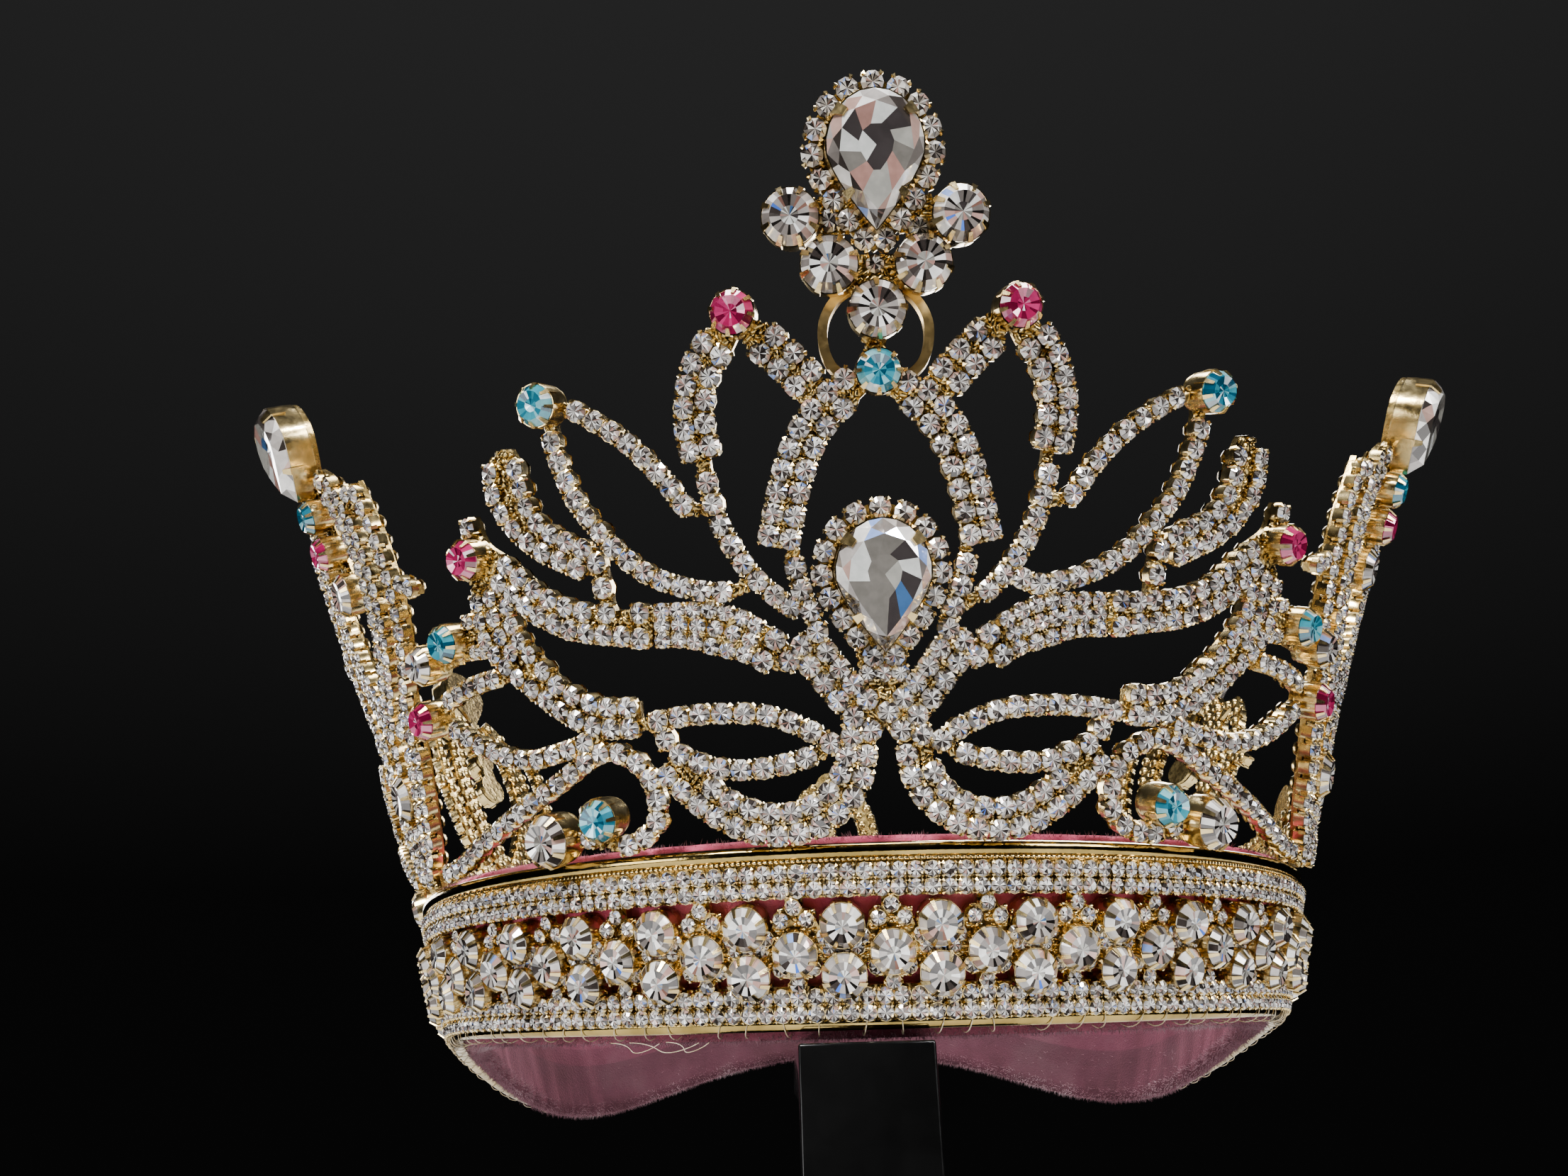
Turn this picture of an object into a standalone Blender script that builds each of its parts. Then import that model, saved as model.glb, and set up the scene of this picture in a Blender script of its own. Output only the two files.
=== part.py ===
"""A pageant crown with its velvet lining, on a plain display stand.

Lengths in the tables are millimetres. The crown's axis is Z and its front faces -Y.
On the crown's wall a place is given by two lengths: across, measured round the wall at
the top ring's radius from a peak's centre line, and up, measured above the bottom ring.
"""
import math
from collections import Counter

import bmesh
import bpy
from mathutils import Vector
from mathutils.geometry import delaunay_2d_cdt

MM = 0.001

RING_HEIGHT = 100.0      # bottom ring above the underside of the stand's foot
BAND_HEIGHT = 24.0
RING_RADIUS = 85.0       # outside of the top ring
BOTTOM_RADIUS = 78.0     # outside of the bottom ring
BAND_THICK = 1.6
RIM_HEIGHT = 1.8
RIM_PROUD = 0.6
GAP = 0.3                # kept between pieces that touch
LATTICE_UNITS = 39
LEFT_DRAW = 3.4          # hand bending draws the front's left wing in by this much
KEY_STEPS = 2000 * LATTICE_UNITS    # places round the crown that corners are matched to

FLARE_SLOPE = 0.30       # outward lean of the peaks at the top ring
FLARE_CURVE = 0.0012     # and how it grows with height
PLATE_INNER = -0.6       # faces of the pierced plates, out from the wall
PLATE_OUTER = 1.8
CHAIN = 3.1              # width of one row of stones
PAIR = 6.0               # and of two rows side by side
WIRE = 1.5               # plain gold wire

LINING_THICK = 2.8
LINING_ABOVE = 1.4       # lining above the top ring
HEM_BELOW = 1.1          # rolled hem below the bottom ring
LINING_STEPS = 2 * LATTICE_UNITS

STAND_WIDTH = 18.4
STAND_LEFT = -4.0        # the post stands left of the centre line
POST_FRONT = 81.0
POST_DEPTH = 14.0
RAIL_THICK = 8.0
RAIL_BACK = 80.0
FOOT_LENGTH = 172.0
FOOT_WIDTH = 110.0
FOOT_THICK = 8.0

EAR_DIP = 17.0           # the base dips behind the ears, below the front
EAR_AZIMUTH = 125.0
EAR_SPREAD = 32.0
BACK_DIP = 5.5

SMALLEST_STEP = 0.05     # corners of soldered strips closer than this are merged
SMALLEST_TURN = 0.06     # and those that turn an edge less than this are left out
SMALLEST_GAP = 1.0       # square millimetres, smaller gaps fill with solder
SOLDER_DOT = 1.2         # closes a point where two gaps would meet

# Right half of the front panel. Each strip's rows are across, up, width.
FRONT_STRIPS = {
    "neck": [(0.0, 99.0, 7.7), (0.0, 93.0, 7.7), (0.0, 88.0, 4.4), (0.0, 84.0, 6.6)],
    "wire ring": [(0.0, 95.4, WIRE), (3.2, 94.4, WIRE), (5.2, 91.6, WIRE), (5.6, 88.4, WIRE),
                  (4.8, 85.4, WIRE), (2.6, 83.2, WIRE)],
    "shoulder": [(0.0, 104.0, 5.5), (4.6, 103.6, 6.6), (8.1, 103.3, 5.5)],
    "ogive": [(1.5, 83.8, 5.1), (4.4, 81.3, PAIR), (7.0, 78.3, PAIR), (9.0, 74.3, PAIR),
              (10.3, 70.3, PAIR), (11.2, 66.7, PAIR), (12.1, 63.0, PAIR)],
    "ogive tail": [(10.6, 64.5, CHAIN), (10.0, 59.3, CHAIN), (9.2, 56.0, CHAIN),
                   (8.1, 53.0, CHAIN), (8.0, 50.5, CHAIN)],
    "leaf out": [(15.0, 91.6, 4.4), (16.8, 89.6, PAIR), (18.8, 86.6, PAIR),
                 (19.9, 83.0, PAIR), (20.3, 79.4, PAIR), (19.9, 75.4, PAIR)],
    "leaf tail": [(19.9, 76.5, CHAIN), (19.5, 71.0, CHAIN), (18.7, 67.0, CHAIN),
                  (17.3, 63.3, CHAIN), (15.3, 59.7, CHAIN), (12.6, 56.7, CHAIN),
                  (9.6, 54.6, CHAIN)],
    "leaf in": [(13.8, 91.6, 4.4), (11.9, 89.2, PAIR), (9.6, 86.4, PAIR),
                (7.4, 83.4, PAIR), (5.6, 80.6, PAIR)],
    "blade up": [(38.6, 86.0, CHAIN), (35.6, 84.8, CHAIN), (32.4, 82.3, CHAIN),
                 (29.5, 79.6, CHAIN), (27.0, 76.6, CHAIN), (24.6, 73.0, CHAIN),
                 (22.4, 69.4, CHAIN), (19.4, 69.0, CHAIN)],
    "blade low": [(39.2, 85.5, CHAIN), (39.4, 81.7, CHAIN), (38.8, 77.5, CHAIN),
                  (37.6, 73.2, CHAIN), (35.4, 69.0, CHAIN), (32.6, 65.2, CHAIN),
                  (29.6, 62.2, CHAIN), (26.4, 60.2, CHAIN), (22.4, 58.6, CHAIN),
                  (18.6, 58.0, CHAIN), (15.6, 59.0, CHAIN)],
    "feather": [(47.5, 82.4, 3.7), (48.2, 79.0, 8.1), (48.0, 75.0, 7.7), (46.4, 71.4, 6.6),
                (43.6, 68.4, PAIR), (40.5, 66.4, PAIR), (37.4, 64.6, PAIR)],
    "feather stem": [(36.4, 65.5, CHAIN), (35.8, 62.5, CHAIN), (35.8, 56.0, CHAIN)],
    "wing": [(56.6, 75.0, 3.7), (56.4, 70.0, 5.5), (53.6, 67.0, PAIR), (51.1, 64.6, PAIR),
             (48.1, 61.4, PAIR), (44.1, 58.6, PAIR), (39.8, 56.7, PAIR), (34.4, 55.5, PAIR),
             (29.1, 54.7, PAIR), (24.4, 54.2, 7.0), (20.4, 53.2, 8.1), (16.4, 51.4, 7.3),
             (13.4, 49.4, PAIR), (10.6, 47.6, CHAIN)],
    "outer wing": [(56.2, 67.5, 7.7), (55.8, 63.3, 8.8), (55.8, 58.7, 9.2),
                   (53.8, 54.5, 7.9), (50.8, 51.2, 6.8), (48.0, 48.3, PAIR),
                   (44.6, 45.8, PAIR), (41.1, 44.0, PAIR), (37.3, 43.1, PAIR),
                   (33.4, 42.9, PAIR)],
    "side spray": [(72.2, 57.0, 4.8), (68.0, 58.0, 6.6), (63.4, 58.8, 7.7), (58.0, 58.4, 8.1)],
    "small leaf up": [(73.4, 49.8, CHAIN), (70.2, 50.9, CHAIN), (66.0, 51.6, CHAIN),
                      (61.9, 51.9, CHAIN), (54.5, 51.9, CHAIN)],
    "small leaf low": [(73.4, 48.6, CHAIN), (69.4, 46.2, CHAIN), (66.0, 43.9, CHAIN),
                       (62.4, 41.9, CHAIN), (58.4, 40.4, CHAIN), (53.6, 39.4, CHAIN),
                       (48.6, 39.6, CHAIN), (44.2, 40.2, CHAIN), (38.6, 41.6, CHAIN)],
    "low leaf up": [(35.0, 41.6, CHAIN), (31.1, 42.0, CHAIN), (25.5, 42.3, CHAIN),
                    (20.1, 42.1, CHAIN), (14.6, 41.3, CHAIN), (9.6, 39.0, CHAIN),
                    (6.0, 36.6, CHAIN)],
    "low leaf low": [(29.8, 40.8, CHAIN), (28.8, 38.2, CHAIN), (25.4, 36.2, CHAIN),
                     (21.4, 34.8, CHAIN), (15.7, 34.6, CHAIN), (10.0, 35.7, CHAIN),
                     (6.4, 37.2, CHAIN)],
    "fork": [(10.6, 51.2, 4.4), (8.6, 49.0, PAIR), (6.6, 46.2, PAIR), (4.4, 43.2, PAIR),
             (2.2, 40.8, PAIR), (0.0, 39.2, PAIR)],
    "loop": [(3.4, 40.0, PAIR), (3.9, 36.6, PAIR), (4.5, 33.4, PAIR), (6.1, 30.6, PAIR),
             (8.8, 28.4, PAIR), (12.2, 27.2, PAIR), (16.0, 27.2, PAIR), (19.6, 28.2, PAIR),
             (23.2, 30.4, PAIR), (26.6, 33.4, PAIR), (29.6, 36.6, PAIR)],
    "curl": [(79.8, 25.9, CHAIN), (75.6, 26.1, CHAIN), (71.5, 27.0, CHAIN),
             (66.0, 29.0, CHAIN), (60.0, 31.2, CHAIN), (54.2, 33.3, CHAIN),
             (48.4, 35.5, CHAIN), (42.8, 37.9, CHAIN), (39.0, 38.8, CHAIN),
             (35.6, 37.6, CHAIN), (32.8, 35.0, CHAIN), (31.6, 31.4, CHAIN),
             (32.4, 28.0, CHAIN), (35.2, 26.2, CHAIN), (39.0, 25.9, CHAIN),
             (43.4, 27.2, CHAIN), (47.0, 27.4, CHAIN)],
    "heart": [(0.0, 50.0, 9.0), (0.0, 45.0, 7.0), (0.0, 40.0, 5.6)],
    "curl tie": [(31.4, 34.0, CHAIN), (27.0, 34.6, CHAIN)],
    "stem tie": [(39.8, 26.0, CHAIN), (40.0, 29.4, CHAIN)],
}

# Right half of a side or rear peak, lower and plainer than the front.
PEAK_STRIPS = {
    "neck": [(0.0, 94.0, 4.8), (0.0, 86.0, 4.2), (0.0, 78.0, 6.0)],
    "ogive": [(3.0, 95.0, 4.6), (5.6, 91.4, PAIR), (7.6, 86.0, PAIR), (8.8, 80.0, PAIR),
              (9.0, 74.0, PAIR), (8.0, 67.4, PAIR), (5.6, 61.0, PAIR), (2.8, 56.0, PAIR),
              (0.0, 52.4, PAIR)],
    "leaf": [(13.0, 88.4, 4.8), (14.4, 84.0, CHAIN), (15.2, 79.0, CHAIN), (15.3, 73.5, CHAIN),
             (14.9, 68.0, CHAIN), (13.6, 62.0, CHAIN), (11.2, 56.6, CHAIN),
             (7.8, 52.0, CHAIN), (4.0, 49.6, CHAIN)],
    "leaf in": [(12.4, 88.2, 4.6), (9.4, 85.4, CHAIN)],
    "spray": [(14.8, 71.6, CHAIN), (18.2, 70.6, CHAIN), (21.0, 68.6, CHAIN)],
    "leg": [(10.6, 56.4, CHAIN), (8.8, 51.0, 5.2), (7.2, 44.0, PAIR), (5.4, 36.6, PAIR),
            (3.2, 30.4, PAIR), (0.0, 27.4, PAIR)],
    "stem": [(0.0, 52.0, CHAIN), (0.0, 39.0, CHAIN), (0.0, 27.0, CHAIN)],
    "foot": [(0.0, 29.0, 7.7), (0.0, 24.35, 7.7)],
}

# Right half of the low arch that links two peaks at the sides and rear.
LINK_STRIPS = {
    "arch": [(0.0, 38.6, CHAIN), (8.0, 38.2, CHAIN), (16.0, 36.4, CHAIN),
             (24.0, 33.4, CHAIN), (31.0, 29.8, CHAIN), (37.0, 26.4, CHAIN)],
    "leaf": [(0.0, 46.0, CHAIN), (8.0, 43.4, CHAIN), (15.0, 43.6, CHAIN),
             (22.0, 45.6, CHAIN), (29.6, 48.6, CHAIN)],
    "post": [(0.0, 46.0, CHAIN), (0.0, 41.0, CHAIN), (0.0, 30.0, CHAIN)],
    "scroll": [(0.0, 40.5, CHAIN), (8.0, 44.0, CHAIN), (14.0, 40.5, CHAIN),
               (18.0, 35.0, CHAIN)],
}

# Right half of the narrow arch at the back.
BACK_STRIPS = {
    "hoop": [(0.0, 74.0, PAIR), (5.0, 70.6, PAIR), (8.4, 64.0, PAIR), (9.6, 56.0, PAIR),
             (9.0, 48.0, PAIR), (7.0, 40.0, PAIR), (4.4, 32.6, PAIR), (0.0, 27.4, PAIR)],
    "bar": [(0.0, 48.0, CHAIN), (5.0, 48.6, CHAIN), (9.0, 50.0, CHAIN)],
    "stem": [(0.0, 73.0, CHAIN), (0.0, 60.0, CHAIN), (0.0, 48.0, CHAIN)],
    "foot": [(0.0, 29.0, 8.8), (0.0, 24.35, 8.8)],
}

# Stones of the front panel: name, across, up, kind.
FRONT_STONES = (
    ("finial", 0.0, 109.3, "drop"),
    ("centre", 0.0, 57.6, "drop"),
    ("shoulder_round", 8.1, 103.3, "large"),
    ("collar_round", 4.6, 97.4, "large"),
    ("collar_low_round", 0.0, 91.9, "large"),
    ("junction_blue", 0.0, 84.4, "blue"),
    ("leaf_pink", 14.6, 92.8, "pink"),
    ("blade_blue", 39.4, 86.2, "blue"),
    ("wing_pink", 56.9, 69.2, "pink"),
    ("spray_blue", 65.0, 58.8, "blue"),
    ("spray_round", 71.6, 57.2, "clear"),
    ("small_leaf_pink", 74.6, 49.2, "pink"),
    ("curl_blue", 40.2, 29.8, "blue"),
    ("low_round", 49.2, 27.9, "low"),
)
PEAK_STONES = (
    ("finial", 0.0, 101.2, "drop"),
    ("blue", 0.0, 89.8, "blue"),
    ("pink", 0.0, 83.2, "pink"),
)
# Places on the side and rear plates that carry a stone in a cup of its own: across, up.
PEAK_CUPS = ((0.0, 40.0), (0.0, 75.6))
LINK_CUPS = ((0.0, 46.6), (0.0, 30.2))
BACK_CUPS = ((0.0, 74.0), (0.0, 54.0))

# Cut stones, and the cup's rim that shows round each.
STONES = {
    "drop": {"wide": 13.0, "tall": 18.0, "height": 4.6, "rim": 0.6, "colour": "clear"},
    "large": {"wide": 8.0, "tall": 8.0, "height": 3.4, "rim": 0.2, "colour": "clear"},
    "low": {"wide": 7.6, "tall": 7.6, "height": 3.4, "rim": 0.2, "colour": "clear"},
    "clear": {"wide": 6.0, "tall": 6.0, "height": 3.0, "rim": 0.2, "colour": "clear"},
    "blue": {"wide": 6.0, "tall": 6.0, "height": 3.0, "rim": 0.2, "colour": "blue"},
    "pink": {"wide": 6.0, "tall": 6.0, "height": 3.0, "rim": 0.2, "colour": "pink"},
}
HALO = 2.9               # ring of small stones round the two front drops
TABLE_SHARE = 0.58
GIRDLE_SHARE = 0.35

# Openings in one unit of the lattice, as corners across, up.
LATTICE_GAPS = (
    ((-5.0, 17.0), (-3.1, 14.8), (0.0, 16.6), (3.1, 14.8), (5.0, 17.0)),
    ((-5.2, 5.9), (-2.9, 5.9), (-3.2, 8.6)),
    ((2.9, 5.9), (5.2, 5.9), (3.2, 8.6)),
)

COLOURS = {
    # name: base colour, roughness, metallic
    "gold": ((0.93, 0.72, 0.38), 0.22, 1.0),
    "clear": ((0.86, 0.88, 0.90), 0.05, 0.4),
    "blue": ((0.16, 0.55, 0.68), 0.05, 0.3),
    "pink": ((0.80, 0.20, 0.38), 0.05, 0.3),
    "velvet": ((0.50, 0.17, 0.24), 0.90, 0.0),
    "black": ((0.008, 0.008, 0.009), 0.18, 0.0),
}


def clear_scene():
    for obj in list(bpy.data.objects):
        bpy.data.objects.remove(obj, do_unlink=True)


def material(name, colour_name):
    colour, roughness, metallic = COLOURS[colour_name]
    made = bpy.data.materials.new(name)
    made.use_nodes = True
    shader = made.node_tree.nodes["Principled BSDF"]
    shader.inputs["Base Color"].default_value = (*colour, 1.0)
    shader.inputs["Roughness"].default_value = roughness
    shader.inputs["Metallic"].default_value = metallic
    made.diffuse_color = (*colour, 1.0)
    return made


def finish_object(name, bm, colour_name, smooth_angle=None):
    """Give the mesh outward faces, an object and a material of its own."""
    bmesh.ops.recalc_face_normals(bm, faces=bm.faces)
    mesh = bpy.data.meshes.new(name)
    bm.to_mesh(mesh)
    bm.free()
    if smooth_angle is not None:
        mesh.shade_smooth()
        mesh.set_sharp_from_angle(angle=math.radians(smooth_angle))
    obj = bpy.data.objects.new(name, mesh)
    mesh.materials.append(material(name + "_" + colour_name, colour_name))
    bpy.context.collection.objects.link(obj)
    return obj


def dip(azimuth):
    """How far the base lies below its front at an azimuth in radians."""
    degrees = abs(math.degrees(math.remainder(azimuth, 2.0 * math.pi)))
    beside = EAR_DIP * math.exp(-((degrees - EAR_AZIMUTH) / EAR_SPREAD) ** 2)
    share = min(max((degrees - 120.0) / 60.0, 0.0), 1.0)
    return beside + BACK_DIP * share * share * (3.0 - 2.0 * share)


def placed(azimuth, radius, up):
    """Point of the crown in the stand's frame, in metres."""
    height = RING_HEIGHT + up - dip(azimuth)
    return Vector((radius * math.sin(azimuth), -radius * math.cos(azimuth), height)) * MM


def flare_radius(up):
    rise = up - BAND_HEIGHT
    return RING_RADIUS + FLARE_SLOPE * rise + FLARE_CURVE * rise * rise


def flare_slope(up):
    return FLARE_SLOPE + 2.0 * FLARE_CURVE * (up - BAND_HEIGHT)


def peak_point(azimuth, up, depth):
    """Point at a depth out from the flared wall of the peaks."""
    slope = flare_slope(up)
    length = math.hypot(1.0, slope)
    return placed(azimuth, flare_radius(up) + depth / length, up - depth * slope / length)


def band_radius(up):
    return BOTTOM_RADIUS + (RING_RADIUS - BOTTOM_RADIUS) * up / BAND_HEIGHT


def band_point(azimuth, up, depth):
    return placed(azimuth, band_radius(up) + depth, up)


def drawn_in(across, up):
    """A place on the front panel, with its left wing drawn in toward the centre line."""
    if across > 0.0:
        return across
    reach = min(max((-across - 20.0) / 45.0, 0.0), 1.0)
    rise = min(max((up - 27.0) / 14.0, 0.0), 1.0)
    return across + LEFT_DRAW * rise * reach * reach * (3.0 - 2.0 * reach)


def wall_scale(up):
    """True length on the flared wall for one unit of across and of up."""
    return flare_radius(up) / RING_RADIUS, math.hypot(1.0, flare_slope(up))


def smooth_rows(rows, spacing=4.6):
    """Rows of a strip with a point between two that lie far apart, on a smooth curve."""
    made = []
    for index in range(len(rows) - 1):
        here, after = rows[index], rows[index + 1]
        before = rows[max(index - 1, 0)]
        beyond = rows[min(index + 2, len(rows) - 1)]
        made.append(here)
        if math.dist(here[:2], after[:2]) > spacing:
            made.append(tuple(
                (9.0 * (b + c) - a - d) / 16.0
                for a, b, c, d in zip(before, here, after, beyond)
            ))
    made.append(rows[-1])
    return made


def strip_outline(rows, side):
    """Outline of a strip whose width is true on the flared wall."""
    points = [(side * across, up, width) for across, up, width in smooth_rows(rows)]
    left, right = [], []
    for index, (across, up, width) in enumerate(points):
        before = points[max(index - 1, 0)]
        after = points[min(index + 1, len(points) - 1)]
        wide, tall = wall_scale(up)
        run = ((after[0] - before[0]) * wide, (after[1] - before[1]) * tall)
        length = math.hypot(*run)
        offset = (-run[1] / length * width / 2 / wide, run[0] / length * width / 2 / tall)
        left.append((across + offset[0], up + offset[1]))
        right.append((across - offset[0], up - offset[1]))
    return left + right[::-1]


def drop_shape(wide, tall, sides):
    """Teardrop with a round head and its point down, about its middle."""
    radius = wide / 2
    head = tall / 2 - radius
    shape = []
    reach = math.acos(radius / (tall - radius))
    for step in range(sides):
        angle = -math.pi / 2 + reach + (2 * math.pi - 2 * reach) * step / (sides - 1)
        shape.append((radius * math.cos(angle), head + radius * math.sin(angle)))
    shape.append((0.0, -tall / 2))
    return shape


def round_shape(wide, sides):
    return [
        (wide / 2 * math.cos(2 * math.pi * (step + 0.5) / sides),
         wide / 2 * math.sin(2 * math.pi * (step + 0.5) / sides))
        for step in range(sides)
    ]


def stone_shape(kind, extra=0.0, sides=8):
    sizes = STONES[kind]
    if sizes["tall"] > sizes["wide"]:
        return drop_shape(sizes["wide"] + extra, sizes["tall"] + 1.3 * extra, sides + 3)
    return round_shape(sizes["wide"] + extra, sides)


def on_wall(shape, across, up):
    """Outline laid on the flared wall about a place."""
    wide, tall = wall_scale(up)
    return [(across + x / wide, up + y / tall) for x, y in shape]


def signed_area(outline):
    """Area inside an outline, positive where it runs counterclockwise."""
    around = zip(outline, (*outline[1:], outline[0]))
    return sum(a[0] * b[1] - b[0] * a[1] for a, b in around) / 2


def cover(solids, holes, merge=1e-4):
    """Triangles over the solids' outlines, taken once, outside every hole's outline."""
    corners, faces = [], []
    for outline in (*solids, *holes):
        order = list(range(len(corners), len(corners) + len(outline)))
        faces.append(order if signed_area(outline) > 0 else order[::-1])
        corners.extend(Vector(corner) for corner in outline)
    points, _, triangles, _, _, sources = delaunay_2d_cdt(corners, [], faces, 1, merge)
    return [
        [(points[index].x, points[index].y) for index in triangle]
        for triangle, source in zip(triangles, sources)
        if source and max(source) < len(solids)
    ]


def border(triangles):
    """Edges that only one triangle uses, as (start, end)."""
    edges = set()
    for triangle in triangles:
        edges.update(zip(triangle, triangle[1:] + triangle[:1]))
    return [(start, end) for start, end in sorted(edges) if (end, start) not in edges]


def pinches(triangles):
    """Corners where two gaps meet in a point."""
    starts = Counter(start for start, _ in border(triangles))
    return [corner for corner, count in starts.items() if count > 1]


def edge_loops(triangles):
    """Closed loops of corners along the border."""
    following = dict(border(triangles))
    loops = []
    while following:
        start = min(following)
        loop = [start]
        spot = following.pop(start)
        while spot != start:
            loop.append(spot)
            spot = following.pop(spot)
        loops.append(loop)
    return loops


def thinned(loop):
    """The loop without the corners that hardly turn it."""
    kept = list(loop)
    index = 0
    while index < len(kept) and len(kept) > 4:
        before, here, after = kept[index - 1], kept[index], kept[(index + 1) % len(kept)]
        base = math.dist(before, after)
        if base > 0 and 2 * abs(signed_area([before, here, after])) / base < SMALLEST_TURN:
            del kept[index]
        else:
            index += 1
    return kept


def soldered(outlines):
    """Triangles of one pierced sheet made from overlapping outlines."""
    sheet = cover(outlines, (), SMALLEST_STEP)
    dots = [on_wall(round_shape(SOLDER_DOT, 6), *corner) for corner in pinches(sheet)]
    sheet = cover([*outlines, *dots], (), SMALLEST_STEP)
    loops = [thinned(loop) for loop in edge_loops(sheet)]
    solids = [loop for loop in loops if signed_area(loop) > 0]
    gaps = [loop for loop in loops if signed_area(loop) < -SMALLEST_GAP]
    return cover(solids, gaps)


def plate(triangles, point_at, inner, outer):
    """Closed plate over flat triangles given as corners (azimuth, up)."""
    bm = bmesh.new()
    turn = 2.0 * math.pi
    made = {}

    def pair(corner):
        key = (round(corner[0] / turn * KEY_STEPS) % KEY_STEPS, round(corner[1] * 1000))
        if key not in made:
            made[key] = tuple(bm.verts.new(point_at(*corner, depth)) for depth in (inner, outer))
        return made[key]

    edges = Counter()
    for triangle in triangles:
        pairs = [pair(corner) for corner in triangle]
        bm.faces.new([low for low, _ in pairs])
        bm.faces.new([high for _, high in reversed(pairs)])
        for start, end in zip(pairs, pairs[1:] + pairs[:1]):
            edges[frozenset((start, end))] += 1
    for edge, count in edges.items():
        if count == 1:
            (low_a, high_a), (low_b, high_b) = edge
            bm.faces.new([low_a, low_b, high_b, high_a])
    return bm


def panel(name, facing, strips, stones, cups):
    """Pierced plate of soldered strips with a seat for each stone."""
    outlines = []
    for rows in strips.values():
        on_centre = all(row[0] == 0.0 for row in rows)
        for side in ((1,) if on_centre else (1, -1)):
            outlines.append(strip_outline(rows, side))
    for _, across, up, kind in stones:
        halo = 2 * HALO if stones is FRONT_STONES and kind == "drop" else 0.0
        shape = stone_shape(kind, 2 * STONES[kind]["rim"] + halo)
        for side in ((1,) if across == 0.0 else (1, -1)):
            outlines.append(on_wall(shape, side * across, up))
    for across, up in cups:
        outlines.append(on_wall(round_shape(STONES["large"]["wide"], 8), across, up))
    if stones is FRONT_STONES:
        outlines = [
            [(drawn_in(across, up), up) for across, up in outline] for outline in outlines
        ]
    middle = math.radians(facing)
    triangles = [
        [(middle + across / RING_RADIUS, up) for across, up in triangle]
        for triangle in soldered(outlines)
    ]
    bm = plate(triangles, peak_point, PLATE_INNER, PLATE_OUTER)
    return finish_object(name, bm, "gold")


def cut_stone(name, facing, across, up, kind):
    """Cut stone with a girdle, sloped facets and a table, on its seat."""
    sizes = STONES[kind]
    azimuth = math.radians(facing) + across / RING_RADIUS
    seat = peak_point(azimuth, up, PLATE_OUTER + GAP)
    out = (peak_point(azimuth, up, 1.0) - peak_point(azimuth, up, 0.0)).normalized()
    aside = Vector((math.cos(azimuth), math.sin(azimuth), 0.0))
    above = out.cross(aside)
    height = sizes["height"]
    levels = ((1.0, 0.0), (1.0, GIRDLE_SHARE * height), (TABLE_SHARE, height))
    shape = stone_shape(kind)
    bm = bmesh.new()
    rings = [
        [bm.verts.new(seat + (aside * x * share + above * y * share + out * rise) * MM)
         for x, y in shape]
        for share, rise in levels
    ]
    bm.faces.new(rings[0])
    bm.faces.new(rings[-1])
    for low, high in zip(rings, rings[1:]):
        for index in range(len(low)):
            after = (index + 1) % len(low)
            bm.faces.new((low[index], low[after], high[after], high[index]))
    return finish_object(name, bm, sizes["colour"])


def set_stones(prefix, facing, stones):
    for name, across, up, kind in stones:
        for side, label in ((1, "right"), (-1, "left")):
            if across == 0.0 and side == -1:
                continue
            suffix = "" if across == 0.0 else "_" + label
            place = drawn_in(side * across, up) if stones is FRONT_STONES else side * across
            cut_stone(prefix + name + suffix, facing, place, up, kind)


def lattice_triangles():
    """One unit of the pierced band, with its rims' edges kept."""
    half = math.pi * RING_RADIUS / LATTICE_UNITS
    levels = (0.0, RIM_HEIGHT, BAND_HEIGHT - RIM_HEIGHT, BAND_HEIGHT)
    strips = [
        ((-half, low), (half, low), (half, high), (-half, high))
        for low, high in zip(levels, levels[1:])
    ]
    return cover(strips, LATTICE_GAPS)


def raise_rims(bm):
    """Push the plate's top and bottom edges out as the two gold rims."""
    for low, high in ((0.0, RIM_HEIGHT), (BAND_HEIGHT - RIM_HEIGHT, BAND_HEIGHT)):
        chosen = []
        for face in bm.faces:
            centre = face.calc_center_median()
            azimuth = math.atan2(centre.x, -centre.y)
            up = centre.z / MM - RING_HEIGHT + dip(azimuth)
            radius = math.hypot(centre.x, centre.y) / MM
            facing_out = radius > band_radius(up) - BAND_THICK / 2
            upright = abs(face.normal.z) < 0.7
            if low < up < high and facing_out and upright:
                chosen.append(face)
        raised = bmesh.ops.extrude_face_region(bm, geom=chosen)
        for part in raised["geom"]:
            if isinstance(part, bmesh.types.BMVert):
                outward = Vector((part.co.x, part.co.y, 0.0)).normalized()
                part.co += outward * RIM_PROUD * MM
        bmesh.ops.delete(bm, geom=chosen, context="FACES")


def build_band():
    unit = lattice_triangles()
    triangles = []
    for number in range(LATTICE_UNITS):
        middle = 2.0 * math.pi * (number + 0.5) / LATTICE_UNITS
        triangles += [
            [(middle + across / RING_RADIUS, up) for across, up in triangle]
            for triangle in unit
        ]
    bm = plate(triangles, band_point, -BAND_THICK, 0.0)
    bmesh.ops.recalc_face_normals(bm, faces=bm.faces)
    raise_rims(bm)
    return finish_object("band", bm, "gold")


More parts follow.
